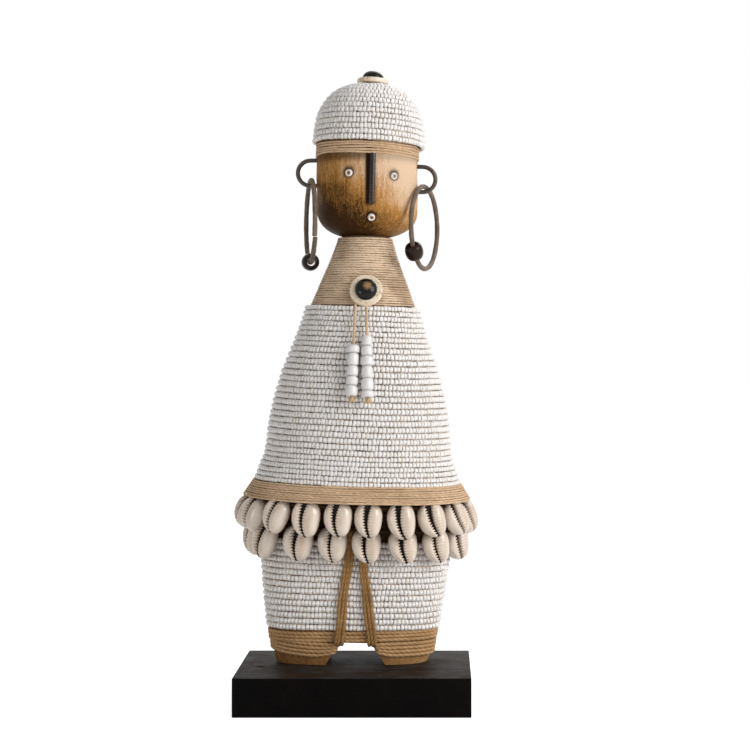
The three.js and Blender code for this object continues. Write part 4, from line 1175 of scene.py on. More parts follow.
@dataclass
class Hoops:
    """The two leather hoops that hang in the ears, cut ends and all, with a dark bead on each."""

    shop: Workshop
    wood: CarvedWood
    radius: float = 22.8
    cord: float = 1.35
    cut_gap: float = 1.2
    inward_tilt: float = 0.3
    sprung_end: float = 0.35
    sprung_over: float = 0.22
    hang: float = 2.95
    bead_radius: float = 5.0
    bead_half: float = 4.5
    bead_play: float = 0.65

    def build(self) -> None:
        """Makes both hoops."""
        self._hoop(Side.LEFT, reach=3.4, height=37.1, turn=10.8, cut_at=64.6, bead_at=0.0)
        self._hoop(Side.RIGHT, reach=3.8, height=33.6, turn=-18, cut_at=51.4, bead_at=51.4)

    def _hoop(
        self, side: Side, reach: float, height: float, turn: float, cut_at: float, bead_at: float
    ) -> None:
        """One hoop and its bead.

        Args:
            side: which ear.
            reach: how far the hoop's pivot stands out of the head.
            height: the ear's height above the chin.
            turn: degrees by which the hoop is turned about the upright.
            cut_at: place of the cut, in degrees from the bottom up the front strand.
            bead_at: place of the bead, measured the same way.
        """
        place = (
            HEAD_PLACE
            @ Matrix.Translation((side.value * (self.wood.head_half_width + reach), 0, height - 7.0))
            @ Matrix.Rotation(math.radians(self.inward_tilt if side is Side.LEFT else 0.0), 4, "Y")
            @ Matrix.Rotation(math.radians(turn), 4, "Z")
        )
        centre = self.hang - self.radius
        half_gap = self.cut_gap / 2 / self.radius
        start = math.radians(cut_at)
        angle = np.linspace(start + half_gap, start + FULL_TURN - half_gap, 150)
        waver = 0.09 * np.sin(3 * angle + turn) + 0.05 * np.sin(7 * angle)
        path = np.stack([
            0.06 * np.sin(2 * angle + 1), -(self.radius + waver) * np.sin(angle),
            centre - (self.radius + waver * np.cos(angle) ** 2) * np.cos(angle),
        ], axis=1)
        in_ear = np.exp(-((np.mod(angle, FULL_TURN) - math.pi) ** 2) / 0.02)
        path[:, 2] = path[:, 2] * (1 - in_ear) + (centre - self.radius * np.cos(angle)) * in_ear
        path[:, 0] += self.sprung_end * np.exp(-(angle[-1] - angle) / self.sprung_over)
        outward = np.tile([1.0, 0.0, 0.0], (len(path), 1))
        swell = 1 + 0.03 * np.sin(11 * angle) + 0.02 * np.sin(29 * angle)
        cord = Rope(self.cord, 14).lay(f"leather_hoop_{side.label}", path, outward, swell=swell)
        self.shop.piece(
            f"leather_hoop_{side.label}", cord, place, Finish.HOOP, "hoop_cord", side.body("HOOP"),
            replaces=(f"hoop_{side.label}",),
        )
        at = math.radians(bead_at)
        sagitta = self.radius - math.sqrt(self.radius**2 - self.bead_half**2)
        middle = self.radius - sagitta / 2
        hole = self.cord * 1.05 + sagitta / 2 + self.bead_play
        half, bulge = self.bead_half, self.bead_radius
        turns = np.linspace(-1.45, 1.45, 15)
        flank = [(hole + (bulge - hole) * math.cos(t) ** 0.75, half * math.sin(t)) for t in turns]
        bead = lathe("hoop_bead_shape", [(hole, -half), *flank, (hole, half), (hole, -half)], 40)
        seat = (
            place
            @ Matrix.Translation((0, -middle * math.sin(at), centre - middle * math.cos(at)))
            @ Matrix.Rotation(math.pi / 2 - at, 4, "X")
        )
        self.shop.piece(
            f"dark_bead_{side.label}", bead, seat, Finish.DARK_BEAD, "dark_bead", side.body("HOOP_BEAD"),
            replaces=(f"hoop_bead_{side.label}",),
        )


# The beadwork


@dataclass(frozen=True)
class BeadRow:
    """One row: its level, the half width and half depth of what it lies on, and the room that it has."""

    level: float
    width: float
    depth: float
    room: float


@dataclass
class Beadwork:
    """Rows of seed beads on thread, each bead a piece of glass of its own."""

    shop: Workshop
    wood: CarvedWood
    seat: float = -0.05
    fill: float = 0.995
    bead_pitch: float = 2.12
    length_spread: float = 0.10
    girth_spread: float = 0.04
    stray: float = 0.07
    tilt: float = 0.06
    thread_radius: float = 0.41
    thread_depth: float = 0.38
    thread_sway: float = 0.30
    dress_low: float = 99.9
    dress_high: float = 196.6
    dress_rooms: tuple[float, ...] = (2.74,) * 6 + (3.26,) * 18 + (2.86,) * 8
    legging_low: float = 21.4
    legging_rows: int = 15
    legging_room: float = 3.3
    cap_rows: int = 15
    cap_half_width: float = 28.5
    cap_half_depth: float = 27.5
    dome_height: float = 32.1
    dome_power: float = 2.6
    dome_foot: float = 7.7
    crown_opening: float = 6.0
    seed: int = 4096

    def __post_init__(self) -> None:
        """Starts the dice."""
        self.dice = np.random.default_rng(self.seed)

    def build(self) -> None:
        """Makes the dress, the leggings and the cap."""
        self._dress()
        self._leggings()
        self._cap()

    def _bead(self) -> bpy.types.Mesh:
        """One seed bead about X: rounded shoulders, and a hole right through."""
        shoulder, belly, half, hole = 0.76, 0.98, 0.5, 0.30
        profile = [(-half, shoulder), (-0.33, belly), (0.33, belly), (half, shoulder)]
        profile += [(half * 0.9, hole), (-half * 0.9, hole), (-half, shoulder)]
        return lathe("seed_bead", profile, 8, axis=(1, 0, 0), weld=0.01)

    def _row(self, ring: Ring, wave: Wave, radius: float) -> tuple[Points, Points]:
        """Bead places along one row.

        Args:
            ring: the thread's line.
            wave: how far the row rises or falls at an angle.
            radius: half a bead's thickness.

        Returns:
            One 4 by 4 matrix for each bead, and a random number for each.
        """
        count = int(round(ring.length / self.bead_pitch))
        lengths = self.dice.normal(1.0, self.length_spread, count).clip(0.78, 1.25)
        edges = np.concatenate([[0.0], np.cumsum(lengths)]) / lengths.sum() * ring.length
        middle = (edges[:-1] + edges[1:]) / 2 + self.dice.uniform(0, self.bead_pitch)
        points, ahead, out = ring.walk(middle)
        angle = np.arctan2(points[:, 1], points[:, 0])
        points[:, 2] += wave(angle) + self.dice.normal(0, self.stray, count)
        points = ring.settle(points)
        points += out * self.dice.normal(0, self.stray, count)[:, None]
        tilt = self.dice.normal(0, self.tilt, (count, 2))
        x = unit(ahead + np.outer(tilt[:, 0], (0, 0, 1)) + out * tilt[:, 1:2])
        y = unit(out - x * np.sum(out * x, axis=1, keepdims=True))
        z = np.cross(x, y)
        girth = radius * self.dice.normal(1.0, self.girth_spread, count).clip(0.88, 1.08)
        long = (edges[1:] - edges[:-1]) * self.dice.uniform(0.92, 0.99, count)
        places = np.zeros((count, 4, 4))
        places[:, :3, 0] = x * long[:, None]
        places[:, :3, 1] = y * girth[:, None]
        places[:, :3, 2] = z * girth[:, None]
        places[:, :3, 3] = points
        places[:, 3, 3] = 1
        return places, self.dice.uniform(0, 1, count)

    def _thread(self, name: str, loops: Sequence[Points], place: Matrix) -> None:
        """The tying threads that show between the rows, one loop to a gap."""
        bm = bmesh.new()
        for points in loops:
            outward = points * np.array([1, 1, 0])
            loop = Rope(self.thread_radius, 5).lay("thread_loop", points, unit(outward), closed=True)
            bm.from_mesh(loop)
            bpy.data.meshes.remove(loop)
        self.shop.piece(name, as_mesh(bm, name), place, Finish.THREAD, "jute", crease=None)

    def _tied_loop(self, ring: Ring, wave: Wave, drop: float) -> Points:
        """The line of one tying thread, under a row, now near the surface and now deep."""
        points, _, out = ring.walk(np.linspace(0, ring.length, 241)[:-1])
        angle = np.arctan2(points[:, 1], points[:, 0])
        phases = self.dice.uniform(0, FULL_TURN, 3)
        deep = np.sin(7 * angle + phases[0]) + np.sin(17 * angle + phases[1])
        deep += 0.8 * np.sin(41 * angle + phases[2])
        points[:, 2] += wave(angle) - drop
        points = ring.settle(points)
        return points + out * (-self.thread_depth + self.thread_sway * deep.clip(-1.6, 0.8))[:, None]

    def _waves(self, amount: float) -> Callable[[float, float], Wave]:
        """Slow rises and falls that neighbouring rows share."""
        phases = self.dice.uniform(0, FULL_TURN, 4)

        def wave_for(level: float, own: float) -> Wave:
            def wave(angle: Points) -> Points:
                slow = np.sin(2 * angle + phases[0] + level / 31)
                slow += 0.7 * np.sin(5 * angle + phases[1] - level / 17)
                quick = 0.28 * np.sin(11 * angle + phases[2] + own * 4)
                quick += 0.2 * np.sin(17 * angle + phases[3] + own * 7)
                return amount * (slow + quick)

            return wave

        return wave_for

    def _garment(
        self, name: str, rows: Sequence[BeadRow], power: float, place: Matrix, replaced: str, wave: float,
        splits: int = 1,
    ) -> None:
        """Beads every row of a garment and lays the threads.

        Args:
            name: the garment's name.
            rows: the rows, from the lowest up.
            power: how square the sections are.
            place: the garment's frame.
            replaced: the CAD node that the beads stand for.
            wave: how much the rows rise and fall.
            splits: the number of pieces that the rows are shared among.
        """
        bead = self._bead()
        wave_for = self._waves(wave)
        strung, loops = [], []
        for number, row in enumerate(rows):
            radius = row.room / 2 * self.fill * float(self.dice.normal(1, 0.008))
            offset = self.seat + radius
            ring = Ring(row.width + offset, row.depth + offset, power, row.level)
            own = wave_for(row.level, float(self.dice.uniform(-1, 1)))
            strung.append(self._row(ring, own, radius))
            if number:
                loops.append(self._tied_loop(ring, own, row.room / 2))
        for number, share in enumerate(np.array_split(np.arange(len(rows)), splits)):
            places = np.concatenate([strung[i][0] for i in share])
            tints = np.concatenate([strung[i][1] for i in share])
            part_name = f"{name}_beads" if splits == 1 else f"{name}_beads_{number + 1}"
            mesh = repeated(part_name, bead, places, tints)
            self.shop.piece(
                f"{part_name}_strung", mesh, place, Finish.BEADS, "white_bead", replaces=(replaced,),
                crease=None,
            )
        self._thread(f"{name}_thread", loops, place)

    def _dress(self) -> None:
        """The beaded dress, from the hem band to the neck twine: small beads at both ends, larger between."""
        rooms = np.array(self.dress_rooms)
        rooms *= (self.dress_high - self.dress_low) / rooms.sum()
        levels = self.dress_low + np.cumsum(rooms) - rooms / 2
        sizes = zip(levels, *self.wood.bell.at(levels), rooms)
        rows = [BeadRow(*(float(v) for v in size)) for size in sizes]
        self._garment("dress", rows, self.wood.bell.power, DOLL_PLACE, "dress_beads", wave=0.13, splits=3)

    def _leggings(self) -> None:
        """The beads on the legs, up to under the hem."""
        levels = self.legging_low + np.arange(self.legging_rows) * self.legging_room
        sizes = zip(levels, *self.wood.legs.at(levels))
        rows = [BeadRow(*(float(v) for v in size), self.legging_room) for size in sizes]
        self._garment("legging", rows, self.wood.legs.power, DOLL_PLACE, "leg_beads", wave=0.12, splits=2)

    def _cap(self) -> None:
        """The beaded cap, row on row up to the disc, evenly spaced along the dome."""
        angle = np.linspace(0, math.atan2(self.dome_height + 1.5, self.crown_opening), 400)
        width, height = self.cap_half_width, self.dome_height
        dome = squircle(width, height, self.dome_power, angle, 0)
        across, up = dome[:, 0], dome[:, 1]
        run = np.concatenate([[0.0], np.cumsum(np.hypot(np.diff(across), np.diff(up)))])
        step = run[-1] / self.cap_rows
        middles = (np.arange(self.cap_rows) + 0.5) * step
        slope_x = np.interp(middles, run, np.gradient(across, run))
        slope_z = np.interp(middles, run, np.gradient(up, run))
        rows = []
        for middle, way_x, way_z in zip(middles, slope_x, slope_z):
            half = float(np.interp(middle, run, across))
            radius = step / 2
            level = self.dome_foot + float(np.interp(middle, run, up)) - radius * way_x
            lean_in = radius * (way_z - 1)
            depth = half * self.cap_half_depth / width
            rows.append(BeadRow(level, half + lean_in, depth + lean_in, step * 1.03))
        self._garment("cap", rows, HEAD_POWER, CAP_PLACE, "cap_beads", wave=0.08)


# The twine


@dataclass(frozen=True)
class Band:
    """One band of wound twine.

    Attributes:
        name: its name.
        rope: its twine.
        turns: how often it goes round.
        low: level of its first turn.
        high: level of its last turn.
        power: how square the body under it is.
        step: the distance between the points of its line.
        unevenness: how far the turns stray up and down.
        node: the CAD node that it stands for, if there is one.
    """

    name: str
    rope: Rope
    turns: float
    low: float
    high: float
    power: float
    step: float
    unevenness: float
    node: Optional[str] = None

    def level(self, share: Points) -> Points:
        """Levels at shares of the way up."""
        return self.low + share * (self.high - self.low)


@dataclass
class TwineWork:
    """Every wound band and tie."""

    shop: Workshop
    wood: CarvedWood
    tie_offset: float = 2.3
    tie_strand: float = 1.64
    tie_over_beads: float = 2.75
    tie_over_band: float = 2.05
    tie_levels: tuple[float, ...] = (76.5, 66, 56, 46, 36, 27, 22.5)
    foot_turns: int = 4
    foot_low: float = 5.4
    foot_pitch: float = 2.1
    foot_points: int = 96
    arch_share: float = 0.22
    tie_spreads: dict[Side, tuple[float, ...]] = field(default_factory=lambda: {
        Side.LEFT: (3.4, 3.9, 4.8, 6.1, 7.1, 7.6, 7.9),
        Side.RIGHT: (2.6, 2.8, 3.3, 4.9, 6.2, 7.3, 8.0),
    })
    seed: int = 77

    def __post_init__(self) -> None:
        """Starts the dice."""
        self.dice = np.random.default_rng(self.seed)

    def build(self) -> None:
        """Makes the windings and the ties."""
        self._neck()
        self._hem()
        self._brow()
        self._ankles()
        self._feet()
        self._backing()
        for side in Side:
            self._tie(side)

    def _band(
        self, band: Band, around: Around, finish: Finish, place: Matrix = DOLL_PLACE,
        settle: bool = False, swelling: float = 0.0,
    ) -> None:
        """Winds one band as a spiral and makes it a piece.

        Args:
            band: the band's sizes.
            around: half widths and half depths of its line for shares from 0 to 1 of the way up.
            finish: its finish.
            place: its frame.
            settle: whether it is brought level with the plinth.
            swelling: how much its thickness comes and goes.
        """
        width, depth = around(np.array([0.5]))
        round_trip = math.pi * (float(width[0]) + float(depth[0]))
        count = max(int(band.turns * round_trip / band.step), 12)
        share = np.linspace(0, 1, count)
        angle = -math.pi / 2 + share * band.turns * FULL_TURN + math.pi
        width, depth = around(share)
        phases = self.dice.uniform(0, FULL_TURN, 3)
        stray = np.sin(angle * 2.3 + phases[0]) + 0.8 * np.sin(angle * 5.1 + phases[1])
        stray += 0.5 * np.sin(angle * 9.7 + phases[2])
        points = squircle(width, depth, band.power, angle, band.level(share) + band.unevenness * stray)
        out = unit(np.stack([points[:, 0] / width**2, points[:, 1] / depth**2, np.zeros(count)], axis=1))
        swell = 1 + swelling * np.sin(np.arange(count) * 0.37) * np.sin(np.arange(count) * 0.061)
        mesh = band.rope.lay(band.name, settled(points) if settle else points, out, swell=swell)
        replaced = (band.node,) if band.node else ()
        self.shop.piece(band.name, mesh, place, finish, "jute", replaces=replaced, crease=None)

    def _neck(self) -> None:
        """Fine twine from the shoulder to the jaw."""
        rope = Rope(0.64, 8, plies=2, twist=5.4, groove=0.10)
        band = Band(
            "neck_twine", rope, turns=29, low=196.9, high=234.6, power=2.0, step=0.55, unevenness=0.06,
            node="neck_wrap",
        )

        def around(share: Points) -> tuple[Points, Points]:
            width, depth = self.wood.neck.at(band.level(share))
            grown = 0.3 + 1.9 - rope.radius
            return width + grown, depth + grown

        self._band(band, around, Finish.NECK_JUTE, swelling=0.05)

    def _hem(self) -> None:
        """The twine band under the dress, wound on the lip's slope."""
        rope = Rope(0.625, 8, plies=2, twist=7.0, groove=0.08)
        band = Band(
            "hem_twine", rope, turns=8, low=91.2, high=100.2, power=2.15, step=0.6, unevenness=0.07,
            node="hem_band",
        )

        def around(share: Points) -> tuple[Points, Points]:
            return 62.8 + share * (57.0 - 62.8), 47.9 + share * (43.3 - 47.9)

        self._band(band, around, Finish.JUTE)

    def _brow(self) -> None:
        """The twine band under the cap."""
        rope = Rope(0.62, 8, plies=2, twist=6.6, groove=0.10)
        band = Band(
            "brow_twine", rope, turns=5, low=0.55, high=7.4, power=HEAD_POWER, step=0.55, unevenness=0.13,
            node="cap_band",
        )
        grown = rope.radius - 0.45

        def around(share: Points) -> tuple[Points, Points]:
            half_sizes = (self.wood.head_half_width, self.wood.head_half_depth)
            width, depth = (np.full_like(share, half + grown) for half in half_sizes)
            return width, depth

        self._band(band, around, Finish.JUTE, BAND_PLACE)

    def _over_legs(self, band: Band) -> Around:
        """The line of a band on the leg beads."""

        def around(share: Points) -> tuple[Points, Points]:
            width, depth = self.wood.legs.at(band.level(share))
            grown = 0.3 + band.rope.radius
            return width + grown, depth + grown

        return around

    def _ankles(self) -> None:
        """The thick twine band over both feet."""
        rope = Rope(1.12, 10, plies=2, twist=6.0, groove=0.22)
        band = Band(
            "ankle_twine", rope, turns=3, low=13.5, high=19.4, power=self.wood.legs.power, step=0.7,
            unevenness=0.10, node="ankle_band",
        )
        self._band(band, self._over_legs(band), Finish.ANKLE_JUTE, settle=True)

    def _backing(self) -> None:
        """The dark stained twine behind the shells, between the leg beads and the lip."""
        rope = Rope(1.1, 8, plies=2, twist=5.0, groove=0.3)
        band = Band(
            "backing_twine", rope, turns=8, low=72.2, high=89.6, power=self.wood.legs.power, step=0.9,
            unevenness=0.10,
        )
        self._band(band, self._over_legs(band), Finish.BACKING)

    def _feet(self) -> None:
        """The turns round each foot alone, through the arch."""
        rope = Rope(1.15, 10, plies=2, twist=6.2, groove=0.26)
        power, grown, half_arch = self.wood.legs.power, 0.2 + rope.radius, self.arch_share / 2
        for side in Side:
            sign = side.value
            loop = []
            for step in range(self.foot_turns * self.foot_points):
                turned = step / self.foot_points
                share = (turned + half_arch) % 1
                beside = min(abs(share - half_arch), 1 - abs(share - half_arch))
                level = self.foot_low + turned * self.foot_pitch
                level += (12.4 - level) * 0.75 * max(1 - beside / 0.24, 0) ** 1.4
                width, depth = (float(v[0]) + grown for v in self.wood.legs.at(np.array([level])))
                wall = self.wood.arch_offset * sign + self.wood.arch_half(level + rope.radius) - grown
                corner_depth = depth * (1 - (wall / width) ** power) ** (1 / power)
                corner = math.atan2(corner_depth, wall)
                if share < self.arch_share:
                    x, y = wall, corner_depth * (1 - 2 * share / self.arch_share)
                else:
                    angle = corner * (2 * (share - self.arch_share) / (1 - self.arch_share) - 1)
                    x, y, _ = squircle(width, depth, power, np.array([angle]), level)[0]
                    level += (2.4 if side is Side.LEFT else -0.6) * (x / width) ** 4
                loop.append((sign * x, y, level))
            points = smoothed(np.array(loop), 4)
            middle = np.array([sign * 29.0, 0, 0])
            flat = (points - middle) * np.array([1, 1, 0])
            mesh = rope.lay(f"foot_twine_{side.label}", settled(points), unit(flat))
            self.shop.piece(
                f"foot_twine_{side.label}", mesh, DOLL_PLACE, Finish.ANKLE_JUTE, "jute",
                replaces=(f"foot_wrap_{side.label}",), crease=None,
            )

    def _tie(self, side: Side) -> None:
        """Three strands side by side, down the front, under the arch and up the back."""
        rope = Rope(1.05, 9, plies=2, twist=6.4, groove=0.2)
        sign = side.value
        bm = bmesh.new()
        for strand in range(3):
            aside = (strand - 1) * self.tie_strand
            route = []
            for level, spread in zip(self.tie_levels, self.tie_spreads[side]):
                _, depth = self.wood.legs.at(np.array([level]))
                route.append((spread, float(depth[0]) + 0.5 + self.tie_over_beads + rope.radius, level))
            _, depth = self.wood.legs.at(np.array([16.0]))
            front = float(depth[0]) + 0.3 + self.tie_over_band + rope.radius
            route += [(8.8, front, 17.0), (9.1, front - 0.3, 13.2), (9.2, front - 2.2, 12.0)]
            route += [(9.2, front - 5.5, 11.7), (9.2, 6.0, 11.7), (9.2, 0.0, 11.7)]
            half = np.array([(self.tie_offset + sign * x + aside, -y, z) for x, y, z in route])
            back = half[:-1][::-1] * np.array([1, -1, 1])
            line = np.concatenate([half, back])
            phase = self.dice.uniform(0, FULL_TURN)
            run = np.concatenate([[0], np.cumsum(np.linalg.norm(np.diff(line, axis=0), axis=1))])
            even = np.arange(0, run[-1], 0.65)
            points = smoothed(np.stack([np.interp(even, run, line[:, axis]) for axis in range(3)], axis=1), 6)
            points[:, 0] += 0.2 * np.sin(even / 9 + phase) + 0.1 * np.sin(even / 3.7 + 2 * phase)
            ahead = tangents(points)
            over = np.cross(ahead, np.tile([1.0, 0.0, 0.0], (len(points), 1)))
            one = rope.lay("tie_strand", points, unit(over))
            bm.from_mesh(one)
            bpy.data.meshes.remove(one)
        name = f"leg_tie_twine_{side.label}"
        self.shop.piece(
            name, as_mesh(bm, name), DOLL_PLACE, Finish.TIE_JUTE, "jute",
            replaces=(f"leg_tie_{side.label}",), crease=None,
        )


# The shells


class Lobe(Enum):
    """The parts of a cowrie's section."""

    LEFT = 0
    SLIT = 1
    RIGHT = 2
    BACK = 3


@dataclass
class CowrieRows:
    """Two rows of cowries strung on cord, slit side out."""

    shop: Workshop
    wood: CarvedWood
    length: float = 20.2
    width: float = 15.6
    height: float = 5.8
    teeth: int = 13
    lip_columns: int = 15
    back_columns: int = 8
    shell_rings: int = 72
    lean: float = 17.0
    tip_aside: float = 1.5
    side_turn: float = 26.0
    side_inset: float = 2.0
    seed: int = 12

    def __post_init__(self) -> None:
        """Starts the dice."""
        self.dice = np.random.default_rng(self.seed)

    def build(self) -> None:
        """Makes both rows."""
        self._row(
            "upper", count=20, phase=0.51, level=88.9, section=(59.0, 40.4, 2.3),
            side_tilt=22.0, front_tilt=5.0,
        )
        width, depth = (float(v[0]) + 0.3 + 2.6 + 3.0 for v in self.wood.legs.at(np.array([75.2])))
        self._row(
            "lower", count=16, phase=0.40, level=75.4, section=(width, depth, 2.6),
            side_tilt=6.0, front_tilt=4.0,
        )

    def _shell(self, opening: float) -> bpy.types.Mesh:
        """One cowrie hanging from the origin down -Z, with its toothed slit towards -Y.

        The columns of the grid follow the shell's own lines: left lip, slit, right lip and back.

        Args:
            opening: a factor on the slit's width.

        Returns:
            The mesh, painted with "slit" (painted shade), "rim" and "flush".
        """
        lip, back, rows = self.lip_columns, self.back_columns, self.shell_rings
        across = 2 * lip + 3 + back
        share = np.linspace(0, 1, lip)
        region = np.array([Lobe.LEFT.value] * lip + [Lobe.SLIT.value] * 3 + [Lobe.RIGHT.value] * lip)
        region = np.concatenate([region, [Lobe.BACK.value] * back])
        along = np.concatenate([share, [0.0, 0.5, 1.0], share[::-1], (np.arange(back) + 1) / (back + 1)])
        half_length, half_width = self.length / 2, self.width / 2
        tones: dict[str, Points] = {}

        def place(u: Points, v: Points) -> Points:
            column = np.round(u * across).astype(int) % across
            where, s = region[column], along[column]
            flat = 2 * v - 1
            t = 0.55 * flat + 0.45 * np.sin(flat * math.pi / 2)
            closing = np.sqrt(np.maximum(1 - np.abs(t) ** 2.3, 0))
            wide = half_width * closing * (1 + 0.09 * t)
            high = self.height * np.sqrt(np.maximum(1 - np.abs(t) ** 2.8, 0))
            centre = self.tip_aside * np.where(t < 0, t**2, 0.15 * t**2)
            tooth = FULL_TURN * self.teeth * (t + 1) / 2
            wave = np.cos(tooth)
            scallop = np.sign(wave) * np.abs(wave) ** 0.7
            gap = (0.66 + 1.25 * ((t + 1) / 2) ** 1.6) * opening
            gap = np.minimum(gap, 0.36 * wide)
            slit_at = wide * (-0.20 + 0.09 * t**2)
            left_edge = slit_at - gap + 0.46 * scallop * np.minimum(closing * 1.4, 1)
            right_edge = slit_at + gap - 0.13 * scallop * np.minimum(closing * 1.4, 1)
            is_left, is_right, is_slit = (where == lobe.value for lobe in (Lobe.LEFT, Lobe.RIGHT, Lobe.SLIT))
            bend = np.where(is_left, 2.25, 2.1)
            swing = s * bend
            roll = (1 - np.cos(swing)) / (1 - np.cos(bend))
            x = np.where(is_left, -wide + (left_edge + wide) * roll, wide + (right_edge - wide) * roll)
            crest = np.where(is_left, 0.93, 1.08) * high
            near_edge = np.clip((s - np.where(is_left, 0.42, 0.50)) / 0.45, 0, 1)
            slanted = np.cos(tooth + np.where(is_left, 0.0, 1.6) * (1 - s))
            ribs = np.where(is_left, 0.26, 0.17) * slanted * near_edge * closing
            y = -(crest * np.sin(swing) ** 0.9 + ribs)
            edge_depth = -high * 0.70
            floor = np.where(s == 0.5, 3.4, 1.1) * closing
            slit_x = np.where(s == 0, left_edge + 0.10 * closing, right_edge - 0.10 * closing)
            x = np.where(is_slit, np.where(s == 0.5, slit_at, slit_x), x)
            y = np.where(is_slit, edge_depth + floor, y)
            is_back = where == Lobe.BACK.value
            x = np.where(is_back, wide * np.cos(s * math.pi), x)
            y = np.where(is_back, 0.18 * high * np.sin(s * math.pi), y)
            # Painted shade: the slit's walls and floor are marked for the near black colour.
            tones["slit"] = np.where(is_slit, 1.0, 0.0)
            between = np.clip(-wave, 0, 1) * np.clip((s - 0.82) / 0.18, 0, 1) * (is_left | is_right)
            outline = np.clip(1 - s / 0.16, 0, 1) * (is_left | is_right) * 0.5
            tip = np.clip((-t - 0.93) / 0.07, 0, 1) * 0.8
            tones["rim"] = np.clip(0.75 * between + outline + tip + np.where(is_back, 0.5, 0), 0, 0.95)
            belly = np.exp(-(((s - 0.72) / 0.24) ** 2)) * np.where(is_right, 0.9, 0.55)
            tones["flush"] = np.clip(belly * (1 - t**4), 0, 1) * (is_left | is_right)
            return np.stack([x + centre, y, half_length * (t - 1)], axis=1)

        return laid_grid("cowrie", across, rows, place, 0.01, clean=False, uv=False, painted=tones)

    def _row(
        self, label: str, count: int, phase: float, level: float, section: tuple[float, float, float],
        side_tilt: float, front_tilt: float,
    ) -> None:
        """One row of shells and the cord that it hangs on.

        Args:
            label: which row.
            count: the number of shells.
            phase: where the first one hangs, as a share of the distance between two.
            level: the cord's level.
            section: half width, half depth and power of the cord's loop.
            side_tilt: degrees by which shells at the sides lean out.
            front_tilt: degrees by which shells at the front lean out.
        """
        ring = Ring(*section, level)
        bm = bmesh.new()
        tint_layer = bm.verts.layers.float.new("tint")
        for number in range(count):
            distance = (number + phase) * ring.length / count + self.dice.normal(0, 0.35)
            points, ahead, out = ring.walk(np.array([distance]))
            point, heading = points[0], math.atan2(ahead[0][1], ahead[0][0])
            sideways = abs(out[0][0]) ** 2
            splay = self.lean * math.sin(2 * math.atan2(out[0][0], -out[0][1]))
            tilt = front_tilt + (side_tilt - front_tilt) * sideways + self.dice.normal(0, 1.6)
            shell = self._shell(float(np.clip(self.dice.normal(0.95, 0.16), 0.6, 1.25)))
            around = math.degrees(math.atan2(out[0][0], -out[0][1]))
            aside = math.exp(-(((abs(around) - 80) / 32) ** 2))
            to_front = math.copysign(self.side_turn * aside, -around)
            yaw = Matrix.Rotation(math.radians(self.dice.normal(to_front, 5)), 4, "Z")
            sway = Matrix.Rotation(math.radians(self.dice.normal(-splay, 2.5)), 4, "Y")
            tuck = 1.5 * sideways if label == "upper" else 0.8
            shorter = 1 - 0.09 * sideways if label == "upper" else 1.0
            size = Matrix.Diagonal((*(self.dice.normal(1, 0.035, 2)), shorter * self.dice.normal(1, 0.02), 1))
            seat = (
                Matrix.Translation(point.tolist())
                @ Matrix.Rotation(heading, 4, "Z")
                @ Matrix.Rotation(math.radians(-tilt), 4, "X")
                @ sway
                @ Matrix.Translation((0, -0.45 + self.side_inset * aside, 3.7 - tuck))
                @ yaw
                @ size
            )
            shell.transform(seat)
            before = len(bm.verts)
            bm.from_mesh(shell)
            bpy.data.meshes.remove(shell)
            bm.verts.ensure_lookup_table()
            tint = float(self.dice.uniform(0, 1))
            for vert in bm.verts[before:]:
                vert[tint_layer] = tint
        name = f"cowries_{label}"
        self.shop.piece(
            name, as_mesh(bm, name), DOLL_PLACE, Finish.SHELL, "cowrie_shell",
            replaces=(f"shell_row_{label}",), crease=None,
        )
        points, _, out = ring.walk(np.linspace(0, ring.length, 301)[:-1])
        cord = Rope(0.9, 8, plies=2, twist=4.5).lay(f"shell_cord_{label}", points, out, closed=True)
        self.shop.piece(
            f"shell_cord_{label}", cord, DOLL_PLACE, Finish.BACKING, "jute", crease=None
        )


# Crown, medallion and strings


